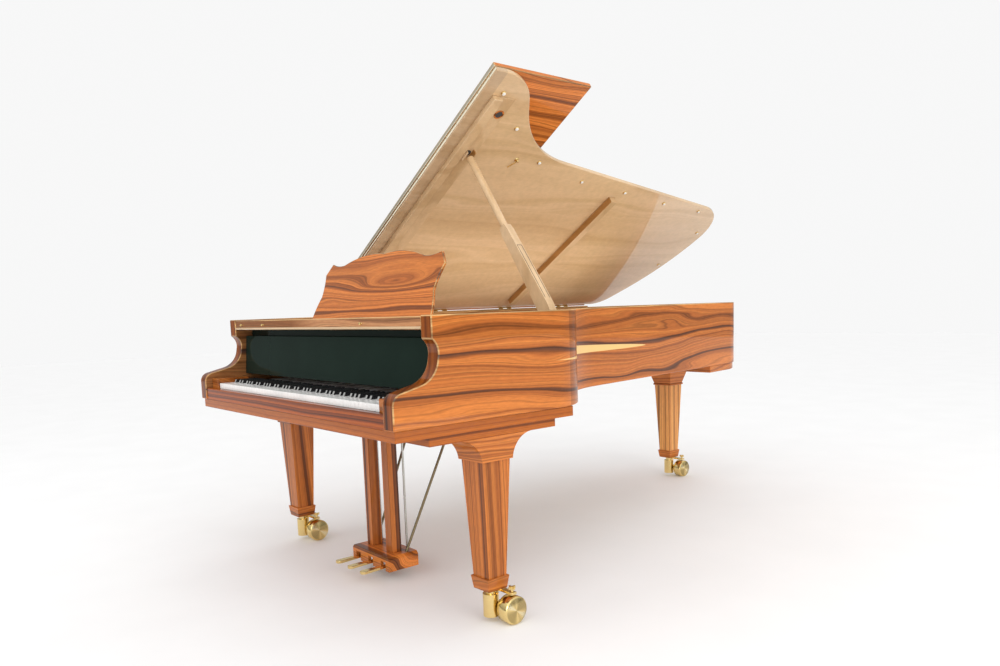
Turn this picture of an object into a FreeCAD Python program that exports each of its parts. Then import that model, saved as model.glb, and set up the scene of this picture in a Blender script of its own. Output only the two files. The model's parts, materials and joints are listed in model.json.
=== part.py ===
"""Concert grand piano: lid on its prop, flap folded back, music desk up, fallboard open.

Frame: +Z up from the floor, +Y from the keyboard to the tail, +X towards the treble.
The origin lies on the floor below the middle of the keyboard's front. Millimetres and degrees.
"""
import FreeCAD, Part
import math
import os
import re

from FreeCAD import Placement, Rotation, Vector

SIZES = {
    # Case outline, seen from above
    "keyboard_side_room": 123.5, "case_length": 2640, "treble_side": 640,
    "corner_share": 0.13587, "corner_angle": 55, "waist_share": 0.04755,
    "bentside_share": 0.38043, "bentside_angle": 46.3, "tail_share": 0.16304,
    "tail_sweep_share": 0.74728, "tail_sweep_angle": 29, "spine_share": 0.09511,
    "rim_bottom": 667, "rim_height": 318, "rim_wall": 54, "spine_lip_width": 20, "spine_lip_height": 7,
    "spine_lip_end_gap": 330, "tail_board_depth": 410, "tail_board_inset": 6,
    # Arms and cheeks, heights above the rim's lower edge
    "arm_nose_height": 70, "arm_nose_reach": 28, "arm_height": 105,
    "arm_back": 95, "arm_back_height": 121, "throat_reach": 160, "throat_height": 196,
    "cheek_front": 141, "cheek_height": 250,
    "nose_bow_share": 0.18, "throat_bow_share": 0.17, "cheek_bow_share": 0.16,
    # Inner rim, bracing and soundboard
    "inner_rim_wall": 46, "inner_rim_lift": 23, "inner_rim_height": 156,
    "belly_rail_front": 632, "belly_rail_depth": 48,
    "beam_width": 60, "beam_height": 80, "bass_beam_share": -0.611, "middle_beam_share": -0.204,
    "treble_beam_share": 0.177, "bass_beam_end_share": 0.883, "middle_beam_end_share": 0.936,
    "treble_beam_end_share": 0.7,
    "brace_beam_reach": 308, "brace_beam_depth": 60,
    "soundboard_thickness": 9, "soundboard_edge": 62,
    # Pin block, iron plate, tuning pins
    "pin_block_front": 380, "pin_block_depth": 185, "pin_block_height": 28, "plate_lift": 32,
    "plate_edge": 60, "plate_front": 345, "plate_thickness": 12, "window_front": 655,
    "strut_width": 18, "strut_height": 30, "low_strut_height": 14, "low_strut_count": 2,
    "strut_overrun": 130, "window_end_gap": 25,
    "tuning_pin_radius": 3.5, "tuning_pin_height": 26, "pin_row_front": 420, "pin_row_gap": 34,
    "pin_row_count": 3, "row_pin_count": 76, "pin_field_share": 0.842,
    # Strings: a fan of steel sections, with the copper-wound bass crossing above it
    "string_rise": 7, "string_start": 530, "steel_string_radius": 0.7, "copper_string_radius": 2.2,
    "fan_left_share": -0.598, "fan_right_share": 0.853, "fan_slant_share": 0.231, "fan_short_gap": 45,
    "fan_long_share": 0.852,
    "fan_bend_share": 1.35, "string_section_count": 4, "section_string_count": 17,
    "section_margin_share": 0.09,
    "bass_string_count": 20, "bass_left_share": -0.87, "bass_right_share": -0.679,
    "bass_slant_share": 0.448, "bass_long_share": 0.905, "bass_short_share": 0.83, "bass_rise": 12,
    "bass_window_gap": 20, "bass_bridge_share": 0.799, "bass_bridge_room": 36,
    # Bridges and dampers
    "bridge_width": 34, "bridge_place_share": 0.9, "bridge_end_gap": 4, "string_clearance": 0.3,
    "damper_width": 9, "damper_length": 64, "damper_height": 17, "damper_line": 690, "damper_share": 0.74,
    # Keybed and the boards under the case
    "keybed_thickness": 34, "keybed_inset": 8, "keybed_length": 706,
    "lower_board_thickness": 26, "lower_board_inset": 12, "lower_board_front": 124, "lower_board_back": 626,
    # Keyboard
    "keyboard_width": 1225, "natural_count": 52, "key_front": 33, "key_top": 733, "key_thickness": 22,
    "key_gap": 1, "key_head": 51, "key_length": 440, "balance_reach": 250,
    "sharp_width": 11, "sharp_rise": 12, "sharp_length": 96, "sharp_front_slope": 6,
    "key_seat_gap": 0.3, "frame_gap": 0.3, "frame_rail": 50, "frame_rail_height": 23, "frame_end_width": 14,
    "balance_bead_width": 8, "balance_bead_height": 4,
    "key_slip_thickness": 24, "key_slip_height": 45, "key_slip_front": 4,
    "key_block_gap": 5, "key_block_depth": 160, "key_block_height": 84,
    # Action
    "back_rail_depth": 90, "bracket_width": 12, "bracket_depth": 30, "bracket_height": 86, "bracket_count": 4,
    "action_rail_depth": 60, "action_rail_height": 10, "action_rail_inset": 4.5, "bracket_gap": 2,
    "hammer_width": 9, "hammer_line": 606, "hammer_shank": 6, "hammer_head": 46, "hammer_head_depth": 18,
    "hammer_count": 84,
    # Fallboard
    "fallboard_front": 173, "fallboard_bottom": 761, "fallboard_height": 157, "fallboard_thickness": 22,
    "fallboard_lean_angle": 4.4, "side_clearance": 0.5,
    # Music shelf and desk
    "shelf_front": 144, "shelf_depth": 416, "shelf_bottom": 950, "shelf_thickness": 12,
    "shelf_travel": 62, "lip_depth": 18, "lip_drop": 6, "lip_height": 38,
    "shelf_rail_width": 24, "shelf_rail_height": 26,
    "shelf_gap": 0.3, "desk_foot": 365.5, "desk_thickness": 10, "desk_width_share": 0.573, "desk_height": 268,
    "desk_lean_angle": 22.3, "desk_gap": 0.4,
    # Lid, flap, hinges and prop
    "lid_overhang": 4, "lid_front": 597, "lid_thickness": 18, "lid_seat": 10, "lid_angle": 31.3,
    "flap_depth": 459, "flap_seat": 1, "flap_barrel_radius": 3, "flap_barrel_out": 3.5,
    "flap_leaf": 1, "flap_leaf_height": 13, "hinge_out": 12, "hinge_rise": 5, "hinge_radius": 6,
    "hinge_length": 90, "hinge_leaf": 3, "hinge_leaf_height": 34, "hinge_count": 4, "hinge_first": 760,
    "hinge_last_gap": 560, "knuckle_gap": 0.4,
    "lid_bar_width": 40, "front_bar_height": 20, "rear_bar_height": 30, "lid_bar_start": 70,
    "front_bar_gap": 70,
    "front_bar_end_share": 0.934, "rear_bar_line_share": 0.63, "rear_bar_end_share": 0.635,
    "prop_side_gap": 52, "prop_front_gap": 114, "prop_drop": 27, "prop_seat_share": 0.7473, "prop_gap": 30,
    "stick_radius": 13, "stick_fit": 0.3, "stick_inset": 15, "sleeve_length": 395, "sleeve_foot_width": 44,
    "sleeve_hip_width": 54, "sleeve_hip": 45, "sleeve_width": 38, "sleeve_depth": 32, "sleeve_neck": 30,
    "sleeve_shoulder": 24, "sleeve_floor": 15,
    "prop_pin_radius": 5, "prop_pin_fit": 0.05, "prop_ear": 3, "prop_ear_gap": 0.5, "prop_ear_height": 40,
    "prop_fork_gap": 0.6, "prop_fork_width": 6, "prop_fork_length": 44, "prop_fork_drop": 26,
    # Legs and casters
    "leg_side_gap": 74, "leg_y": 378, "tail_leg_share": -0.3424, "tail_leg_gap": 172,
    "leg_shaft_top": 530, "leg_shaft_bottom": 152, "leg_top_width": 108, "leg_bottom_width": 75,
    "collar_bottom": 110, "collar_width": 88, "collar_bottom_width": 76,
    "capital_width": 122, "cove_reach": 90, "cove_bow_share": 0.2,
    "tail_fillet_width": 120, "tail_fillet_height": 8, "tail_capital_width": 112, "tail_capital_spread": 56,
    "wheel_radius": 45.5, "wheel_width": 50, "wheel_side": 62, "wheel_trail": 34, "wheel_round": 5,
    "wheel_face": 8, "hub_radius": 14, "hub_gap": 0.5, "axle_radius": 8, "axle_fit": 0.06,
    "axle_end_gap": 0.5,
    "caster_post_radius": 26, "caster_post_bottom": 18, "caster_post_top": 92, "caster_horn_width": 26,
    "stem_radius": 17, "caster_gap": 0.3, "brake_radius": 5, "brake_height": 18, "brake_wing": 26,
    "brake_wing_thickness": 5, "brake_out": 66, "brake_arm_height": 8, "brake_arm_gap": 3,
    # Lyre, pedals and rods
    "lyre_front": 329, "lyre_depth": 130, "lyre_half_width": 131, "lyre_bottom": 42, "lyre_box_height": 55,
    "lyre_wall": 12, "lyre_bevel": 10, "post_width": 43, "post_x": 68, "post_front": 371,
    "lyre_head_height": 22, "lyre_head_spread": 36,
    "pedal_pitch": 90, "pedal_width": 30, "pedal_root_width": 18, "pedal_thickness": 10, "pedal_height": 50,
    "pedal_tip": 232, "pedal_tail": 446, "pedal_slot": 7, "pedal_pivot": 396,
    "pedal_axle_gap": 0.3, "rod_radius": 4, "rod_y": 438, "rod_gap": 0.3, "rod_hole_gap": 2,
    "rod_top_gap": 12,
    "brace_radius": 5, "brace_x": 106, "brace_foot_gap": 35, "brace_head_x": 140, "brace_head_gap": 37,
    # One overrun serves every cut
    "overrun": 20,
}

NOTE_NAMES = ["a", "a_sharp", "b", "c", "c_sharp", "d", "d_sharp", "e", "f", "f_sharp", "g", "g_sharp"]
SHARP_OFFSET_SHARES = {"a_sharp": 0.12, "c_sharp": -0.12, "d_sharp": 0.12, "f_sharp": -0.15, "g_sharp": 0.0}

doc = FreeCAD.newDocument("grand_piano")
sheet = doc.addObject("Spreadsheet::Sheet", "Sizes")
for row, (alias, size) in enumerate(SIZES.items(), start=1):
    sheet.set(f"A{row}", alias)
    sheet.set(f"B{row}", str(size))
    sheet.setAlias(f"B{row}", alias)
doc.recompute()

places = doc.addObject("App::VarSet", "Places")
derived = []
pieces = []


def named(formula):
    """Give each size in a formula the name of the sheet or of the set of places that holds it."""

    def full(word):
        name = word.group()
        if name in SIZES:
            return "Sizes." + name
        return "Places." + name if name in derived else name

    return re.sub(r"[a-z][a-z0-9_]*", full, formula)


def derive(**formulas):
    """Add places that follow from the sizes."""
    for name, formula in formulas.items():
        places.addProperty("App::PropertyFloat", name)
        places.setExpression(name, named(formula))
        derived.append(name)
    doc.recompute()


def mm(name):
    """The number behind a size or a place."""
    return float(getattr(places, name) if name in derived else sheet.get(name))


derive(case_width="keyboard_width + 2 * keyboard_side_room")
derive(
    corner_radius="corner_share * case_width", waist_run="waist_share * case_width",
    bentside_radius="bentside_share * case_width", tail_radius="tail_share * case_width",
    tail_sweep_radius="tail_sweep_share * case_width", spine_radius="spine_share * case_width",
)
derive(
    half="case_width / 2", inner_half="case_width / 2 - rim_wall",
    rim_top="rim_bottom + rim_height",
    keybed_bottom="rim_bottom - keybed_thickness",
    lower_board_bottom="rim_bottom - keybed_thickness - lower_board_thickness",
    inner_rim_bottom="rim_bottom + inner_rim_lift",
)
derive(soundboard_bottom="inner_rim_bottom + inner_rim_height")
derive(plate_bottom="soundboard_bottom + plate_lift")
derive(plate_top="plate_bottom + plate_thickness", pin_block_bottom="plate_bottom - pin_block_height")
derive(
    steel_height="plate_top + string_rise",
    soundboard_top="soundboard_bottom + soundboard_thickness",
    key_underside="key_top - key_thickness", key_back="key_front + key_length",
    balance_y="key_front + balance_reach", keyboard_half="keyboard_width / 2",
    frame_bottom="rim_bottom + frame_gap",
    lid_underside="rim_top + lid_seat", hinge_x="-half - hinge_out",
    shelf_top="shelf_bottom + shelf_thickness", lyre_top="lyre_bottom + lyre_box_height",
    brake_bottom="caster_post_top + brake_arm_gap + brake_arm_height + caster_gap",
)
derive(
    bass_height="steel_height + bass_rise", hinge_z="lid_underside + hinge_rise",
    lid_top="lid_underside + lid_thickness",
    seat_height="key_underside - key_seat_gap",
    natural_pitch="keyboard_width / natural_count",
)
derive(
    action_bottom="seat_height + bracket_height",
    fold_height="lid_top + flap_seat / 2",
)
derive(action_top="action_bottom + action_rail_height", flap_bottom="lid_top + flap_seat")
derive(
    bass_beam="bass_beam_share * half", middle_beam="middle_beam_share * half",
    treble_beam="treble_beam_share * half",
    bass_beam_end="bass_beam_end_share * case_length", middle_beam_end="middle_beam_end_share * case_length",
    treble_beam_end="treble_beam_end_share * case_length",
    brace_beam_back="belly_rail_front + brace_beam_reach",
    pin_field_width="pin_field_share * case_width",
    fan_left="fan_left_share * half", fan_right="fan_right_share * half", fan_slant="fan_slant_share * half",
    fan_short="window_front + fan_short_gap", fan_long="fan_long_share * case_length",
    bass_left="bass_left_share * half", bass_right="bass_right_share * half",
    bass_slant="bass_slant_share * half",
    bass_long="bass_long_share * case_length", bass_short="bass_short_share * case_length",
    bass_bridge_line="bass_bridge_share * case_length",
    leg_x="half - leg_side_gap", tail_leg_x="tail_leg_share * half", tail_leg_y="case_length - tail_leg_gap",
    hinge_pitch="(case_length - hinge_last_gap - hinge_first) / (hinge_count - 1)",
    front_bar_line="lid_front + front_bar_gap", front_bar_end="front_bar_end_share * case_width",
    rear_bar_line="rear_bar_line_share * case_length", rear_bar_end="rear_bar_end_share * case_width",
    prop_x="inner_half - prop_side_gap", prop_y="lid_front + prop_front_gap", prop_z="rim_top - prop_drop",
    prop_seat="prop_seat_share * case_width",
    action_rail_width="keyboard_width - 2 * action_rail_inset",
    desk_half_width="desk_width_share * half",
)
derive(hammer_pitch="action_rail_width / hammer_count")


def bind(thing, **formulas):
    """Tie properties to sizes. A double underscore in a name stands for a dot."""
    for name, formula in formulas.items():
        thing.setExpression(name.replace("__", "."), named(formula))
    return thing


def put(thing, at):
    """Tie an object's position to sizes."""
    return bind(thing, Placement__Base__x=at[0], Placement__Base__y=at[1], Placement__Base__z=at[2])


def box(name, size, at, turn=None):
    """A block of a given size whose first corner lies at a given place."""
    thing = doc.addObject("Part::Box", name)
    if turn:
        thing.Placement.Rotation = turn
    bind(thing, Length=size[0], Width=size[1], Height=size[2])
    return put(thing, at)


def cylinder(name, radius, height, at, turn=None):
    """A round bar from a given place along its own axis."""
    thing = doc.addObject("Part::Cylinder", name)
    if turn:
        thing.Placement.Rotation = turn
    bind(thing, Radius=radius, Height=height)
    return put(thing, at)


def taper(name, bottom, top, height, at):
    """A square post that changes width from its foot to its head, centred on a place."""
    thing = doc.addObject("Part::Wedge", name)
    thing.Placement.Rotation = UPRIGHT
    bind(thing, Xmin=f"-({bottom}) / 2", Xmax=f"({bottom}) / 2")
    bind(thing, Zmin=f"-({bottom}) / 2", Zmax=f"({bottom}) / 2")
    bind(thing, X2min=f"-({top}) / 2", X2max=f"({top}) / 2", Z2min=f"-({top}) / 2", Z2max=f"({top}) / 2")
    bind(thing, Ymin="0", Ymax=height)
    return put(thing, at)


UPRIGHT = Rotation(Vector(1, 0, 0), 90)
SIDEWAYS = Rotation(Vector(0, 1, 0), 90)
FACING_TREBLE = Rotation(Vector(1, 1, 1), 120)


def outline(points):
    """Straight edges round a closed list of (x, y) points."""
    corners = [Vector(x, y, 0) for x, y in points]
    return [Part.LineSegment(a, b) for a, b in zip(corners, corners[1:] + corners[:1])]


def line(start, end):
    return Part.LineSegment(Vector(*start, 0), Vector(*end, 0))


def bow(start, end, share):
    """An arc from start to end that rises to the left of its chord by a share of the chord."""
    a, b = Vector(*start, 0), Vector(*end, 0)
    rise = Vector(a.y - b.y, b.x - a.x, 0) * share
    return Part.Arc(a, (a + b) / 2 + rise, b)


def prism(name, edges, height, at=("0", "0", "0"), turn=Rotation(), pose=None):
    """A flat outline pushed along its own normal."""
    sketch = doc.addObject("Sketcher::SketchObject", name + "_outline")
    sketch.addGeometry(edges, False)
    if pose:
        sketch.Placement = pose
    else:
        sketch.Placement = Placement(Vector(), turn)
        put(sketch, at)
    thing = doc.addObject("Part::Extrusion", name)
    thing.Base = sketch
    thing.DirMode = "Normal"
    thing.Solid = True
    return bind(thing, LengthFwd=height)


def plane(body, role):
    """One of a body's own origin planes."""
    return next(p for p in body.Origin.OriginFeatures if p.Role == role)


def padded_body(name, edges, thickness, height):
    """A body whose outline lies flat at a given height and is padded upwards."""
    body = doc.addObject("PartDesign::Body", name)
    sketch = body.newObject("Sketcher::SketchObject", name + "_sketch")
    sketch.AttachmentSupport = (plane(body, "XY_Plane"), [""])
    sketch.MapMode = "FlatFace"
    sketch.addGeometry(edges, False)
    bind(sketch, AttachmentOffset__Base__z=height)
    pad = body.newObject("PartDesign::Pad", name + "_pad")
    pad.Profile = sketch
    bind(pad, Length=thickness)
    body.Tip = pad
    return body


def fuse(name, *shapes):
    thing = doc.addObject("Part::MultiFuse", name)
    thing.Shapes = list(shapes)
    return thing


def cut(name, base, *tools):
    """Take tools away from a base."""
    thing = doc.addObject("Part::Cut", name)
    thing.Base = base
    thing.Tool = tools[0] if len(tools) == 1 else fuse(name + "_tools", *tools)
    return thing


def common(name, *shapes):
    """Keep only what several shapes share."""
    thing = doc.addObject("Part::MultiCommon", name)
    thing.Shapes = list(shapes)
    return thing


def group(name, *shapes):
    """Separate solids that share one node."""
    thing = doc.addObject("Part::Compound", name)
    thing.Links = list(shapes)
    return thing


def formed(name, solids):
    """A group of many small solids worked out from the sizes."""
    thing = doc.addObject("Part::Feature", name)
    thing.Shape = Part.makeCompound(solids)
    return thing


def piece(label, thing):
    """List an object as a sub-part under its label."""
    thing.Label = label
    pieces.append(thing)
    return thing


def case_path(inset, start):
    """Edges of the case's plan, moved in from its outside, from the treble side to the spine."""
    edges = []
    x, y, heading = mm("half") - inset, start, math.pi / 2

    def run(length):
        nonlocal x, y
        end = x + length * math.cos(heading), y + length * math.sin(heading)
        edges.append(line((x, y), end))
        x, y = end

    def turn(radius, angle):
        nonlocal x, y, heading
        side = math.copysign(1, angle)
        centre = Vector(x - side * radius * math.sin(heading), y + side * radius * math.cos(heading), 0)
        first = heading - side * math.pi / 2
        low, high = sorted((first, first + angle))
        edges.append(Part.ArcOfCircle(Part.Circle(centre, Vector(0, 0, 1), radius), low, high))
        heading += angle
        last = heading - side * math.pi / 2
        x, y = centre.x + radius * math.cos(last), centre.y + radius * math.sin(last)

    run(mm("treble_side") - start)
    turn(mm("corner_radius") - inset, math.radians(mm("corner_angle")))
    run(mm("waist_run"))
    turn(mm("bentside_radius") + inset, -math.radians(mm("bentside_angle")))
    tail = mm("tail_radius") - inset
    rise = tail * (1 + math.cos(heading))
    run((mm("case_length") - inset - rise - y) / math.sin(heading))
    turn(tail, math.pi - heading)
    turn(mm("tail_sweep_radius") - inset, math.radians(mm("tail_sweep_angle")))
    spine = mm("spine_radius") - inset
    across = x + mm("half") - inset - spine * (1 + math.sin(heading))
    run(-across / math.cos(heading))
    turn(spine, 1.5 * math.pi - heading)
    run(y - start)
    return edges


def case_region(inset, start):
    """The closed plan of the case behind a straight front line."""
    edges = case_path(inset, start)
    half = mm("half") - inset
    return edges + [line((-half, start), (half, start))]


def case_band(outside, inside, start):
    """The closed plan of a wall between two insets, open at the front."""
    out, inn = mm("half") - outside, mm("half") - inside
    ends = [line((out, start), (inn, start)), line((-out, start), (-inn, start))]
    return case_path(outside, start) + case_path(inside, start) + ends


def make_outer_rim():
    """The rim with its shaped arms and cheeks, the lip along the lid hinges and the board under the tail."""
    wall = padded_body("rim_wall_body", case_band(0, mm("rim_wall"), 0), "rim_height", "rim_bottom")
    low, top, over = mm("rim_bottom"), mm("rim_top"), mm("overrun")
    nose = (0, low + mm("arm_nose_height"))
    arm = (mm("arm_nose_reach"), low + mm("arm_height"))
    back = (mm("arm_back"), low + mm("arm_back_height"))
    throat = (mm("throat_reach"), low + mm("throat_height"))
    cheek = (mm("cheek_front"), low + mm("cheek_height"))
    edges = [
        bow(nose, arm, mm("nose_bow_share")),
        line(arm, back),
        bow(back, throat, -mm("throat_bow_share")),
        bow(throat, cheek, -mm("cheek_bow_share")),
        line(cheek, (cheek[0], top + over)),
        line((cheek[0], top + over), (-over, top + over)),
        line((-over, top + over), (-over, nose[1])),
        line((-over, nose[1]), nose),
    ]
    sweep = prism("arm_sweep", edges, "case_width + 2 * overrun", ("-half - overrun", "0", "0"), FACING_TREBLE)
    lip = box(
        "spine_lip",
        ("spine_lip_width", "case_length - spine_lip_end_gap - lid_front", "spine_lip_height"),
        ("-half", "lid_front", "rim_top"),
    )
    region = case_region(mm("tail_board_inset"), mm("lid_front"))
    plan = prism("tail_board_plan", region, "keybed_thickness", ("0", "0", "keybed_bottom"))
    room = box(
        "tail_board_room",
        ("case_width", "tail_board_depth", "keybed_thickness"),
        ("-half", "case_length - tail_board_depth", "keybed_bottom"),
    )
    board = common("tail_board", plan, room)
    piece("outer_rim", group("outer_rim", cut("rim_shaped", wall, sweep), lip, board))


def make_inner_case():
    """Inner rim, bracing under the soundboard, soundboard, pin block."""
    start = mm("belly_rail_front")
    inside = mm("rim_wall") + mm("inner_rim_wall")
    band = case_band(mm("rim_wall"), inside, start)
    piece("inner_rim", padded_body("inner_rim", band, "inner_rim_height", "inner_rim_bottom"))
    room = prism("inner_room", case_region(inside, start), "inner_rim_height", ("0", "0", "inner_rim_bottom"))
    belly = box(
        "belly_rail_blank",
        ("2 * inner_half", "belly_rail_depth", "inner_rim_height"),
        ("-inner_half", "belly_rail_front", "inner_rim_bottom"),
    )
    belly = common("belly_rail", belly, room)
    beams = []
    for name in ("bass_beam", "middle_beam", "treble_beam"):
        start_y = "belly_rail_front + belly_rail_depth"
        size = ("beam_width", f"{name}_end - belly_rail_front - belly_rail_depth", "beam_height")
        beams.append(box(name, size, (f"{name} - beam_width / 2", start_y, "inner_rim_bottom")))
    cross = []
    for left, right in (("bass_beam", "middle_beam"), ("middle_beam", "treble_beam")):
        size = (f"{right} - {left} - beam_width", "brace_beam_depth", "beam_height")
        at = (f"{left} + beam_width / 2", "brace_beam_back - brace_beam_depth", "inner_rim_bottom")
        cross.append(box("cross_beam", size, at))
    piece("bracing_beams", group("bracing_beams", belly, *beams, *cross))
    region = case_region(mm("soundboard_edge"), mm("belly_rail_front"))
    piece("soundboard", padded_body("soundboard", region, "soundboard_thickness", "soundboard_bottom"))
    piece(
        "pin_block",
        box(
            "pin_block",
            ("2 * inner_half", "pin_block_depth", "pin_block_height"),
            ("-inner_half", "pin_block_front", "pin_block_bottom"),
        ),
    )


def fan(share):
    """Front x, end x and end y of the steel string at a share of the way from tenor to treble."""
    low = 1 - share
    front = mm("fan_left") + (mm("fan_right") - mm("fan_left")) * share
    reach = mm("fan_short") + (mm("fan_long") - mm("fan_short")) * low ** mm("fan_bend_share")
    return front, front - mm("fan_slant") * low, reach


def bass_fan(share):
    """Front x, end x and end y of the wound string at a share of the way from the lowest one up."""
    front = mm("bass_left") + (mm("bass_right") - mm("bass_left")) * share
    reach = mm("bass_long") + (mm("bass_short") - mm("bass_long")) * share
    return front, front + mm("bass_slant"), reach


def along(string, y):
    """Where a string lies across the case at a distance from the front."""
    front, end, reach = string
    start = mm("string_start")
    return front + (end - front) * (y - start) / (reach - start)


def bass_bridge_ends():
    """Where the first and last wound strings cross the bass bridge."""
    y = mm("bass_bridge_line")
    return [(along(bass_fan(share), y), y) for share in (0, 1)]


def section_edges():
    """Shares of the fan at which the plate's struts lie, the last one at its treble end."""
    count = int(mm("string_section_count"))
    return [n / count for n in range(count + 1)]


def make_plate():
    """The iron plate with a window for each string section and a raised strut between windows."""
    blank = padded_body(
        "plate_blank", case_region(mm("plate_edge"), mm("plate_front")), "plate_thickness", "plate_bottom"
    )
    front, gap = mm("window_front"), mm("strut_width") / 2
    windows, struts = [], []
    shares = section_edges()
    for left, right in zip(shares, shares[1:]):
        corners = []
        for share, side in ((left, gap), (right, -gap)):
            string = fan(share)
            end = max(string[2] - mm("window_end_gap"), front + mm("bridge_width") * 2)
            corners.append(((along(string, front) + side, front), (along(string, end) + side, end)))
        (a, b), (d, c) = corners
        windows.append(prism("window", outline([a, d, c, b]), "plate_thickness + 2 * overrun",
                             ("0", "0", "plate_bottom - overrun")))
    low, edge = bass_fan(0), fan(0)
    end = mm("bass_short") - mm("bass_window_gap")
    left = along(low, front) - mm("bass_window_gap")
    corners = [(left, front), (along(edge, front) - gap, front), (along(edge, end) - gap, end), (left, end)]
    windows.append(prism("bass_window", outline(corners), "plate_thickness + 2 * overrun",
                         ("0", "0", "plate_bottom - overrun")))
    (left, y), (right, y) = bass_bridge_ends()
    room = mm("bass_bridge_room")
    corners = [(left - room, y - room), (right + room, y - room), (right + room, y + room), (left - room, y + room)]
    windows.append(prism("bass_bridge_window", outline(corners), "plate_thickness + 2 * overrun",
                         ("0", "0", "plate_bottom - overrun")))
    for number, share in enumerate(shares[:-1]):
        string = fan(share)
        start, end = mm("string_start"), string[2] + mm("strut_overrun")
        x0, x1 = along(string, start), along(string, end)
        lean = math.degrees(math.atan2(x0 - x1, end - start))
        strut = doc.addObject("Part::Box", f"strut_{number}")
        crossed = number < int(mm("low_strut_count"))
        bind(strut, Length="strut_width", Height="low_strut_height" if crossed else "strut_height")
        strut.Width = math.hypot(x1 - x0, end - start)
        turn = Rotation(Vector(0, 0, 1), lean)
        strut.Placement = Placement(Vector(x0, start, mm("plate_top")) - turn.multVec(Vector(gap, 0, 0)), turn)
        struts.append(strut)
    piece("iron_plate", fuse("iron_plate", cut("plate_web", blank, *windows), *struts))


def steel_shares():
    """Shares of the fan for all steel strings, section by section."""
    shares = section_edges()
    count, margin = int(mm("section_string_count")), mm("section_margin_share")
    for left, right in zip(shares, shares[1:]):
        for n in range(count):
            place = margin + (1 - 2 * margin) * n / (count - 1)
            yield left + (right - left) * place


def bass_shares():
    count = int(mm("bass_string_count"))
    return [n / (count - 1) for n in range(count)]


def wire(string, radius, height):
    """One straight string."""
    front, end, reach = string
    start = Vector(front, mm("string_start"), height)
    way = Vector(end, reach, height) - start
    return Part.makeCylinder(radius, way.Length, start, way)


def make_strings():
    steel = [wire(fan(s), mm("steel_string_radius"), mm("steel_height")) for s in steel_shares()]
    copper = [wire(bass_fan(s), mm("copper_string_radius"), mm("bass_height")) for s in bass_shares()]
    piece("steel_strings", formed("steel_strings", steel))
    piece("copper_strings", formed("copper_strings", copper))
    pins = []
    rows, count = int(mm("pin_row_count")), int(mm("row_pin_count"))
    pitch = mm("pin_field_width") / count
    for row in range(rows):
        for n in range(count):
            x = -mm("pin_field_width") / 2 + pitch * (n + row / rows)
            at = Vector(x, mm("pin_row_front") + row * mm("pin_row_gap"), mm("plate_top"))
            pins.append(Part.makeCylinder(mm("tuning_pin_radius"), mm("tuning_pin_height"), at))
    piece("tuning_pins", formed("tuning_pins", pins))


def slab(points, low, height):
    """A solid from a flat polygon."""
    corners = [Vector(x, y, low) for x, y in points]
    return Part.Face(Part.makePolygon(corners + corners[:1])).extrude(Vector(0, 0, height))


def make_bridges():
    """Bridges that carry the strings on the soundboard, one length in each window."""
    low = mm("soundboard_top")
    half, gap = mm("bridge_width") / 2, mm("strut_width") / 2 + mm("bridge_end_gap")

    def place(string, side):
        y = mm("window_front") + (string[2] - mm("window_front")) * mm("bridge_place_share")
        y = max(y - mm("bridge_width"), mm("window_front") + half + mm("bridge_end_gap"))
        return along(string, y) + side, y

    def length(ends, height):
        front = [(x, y - half) for x, y in ends]
        back = [(x, y + half) for x, y in reversed(ends)]
        return slab(front + back, low, height - low)

    shares = section_edges()
    steel_seat = mm("steel_height") - mm("steel_string_radius") - mm("string_clearance")
    bass_seat = mm("bass_height") - mm("copper_string_radius") - mm("string_clearance")
    lengths = []
    for left, right in zip(shares, shares[1:]):
        ends = [place(fan(left), gap), place(fan((left + right) / 2), 0), place(fan(right), -gap)]
        lengths.append(length(ends, steel_seat))
    lengths.append(length(bass_bridge_ends(), bass_seat))
    piece("bridges", formed("bridges", lengths))


def make_dampers():
    """Damper heads that lie on the strings of all but the top notes."""
    heads = []
    width, length, line_y = mm("damper_width"), mm("damper_length"), mm("damper_line")
    sets = [
        (fan, steel_shares(), mm("steel_height") + mm("steel_string_radius"), mm("damper_share")),
        (bass_fan, bass_shares(), mm("bass_height") + mm("copper_string_radius"), 1),
    ]
    for course, shares, top, last in sets:
        for share in shares:
            if share <= last:
                x = along(course(share), line_y + length / 2) - width / 2
                at = Vector(x, line_y, top + mm("string_clearance"))
                heads.append(Part.makeBox(width, length, mm("damper_height"), at))
    piece("dampers", formed("dampers", heads))


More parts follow.
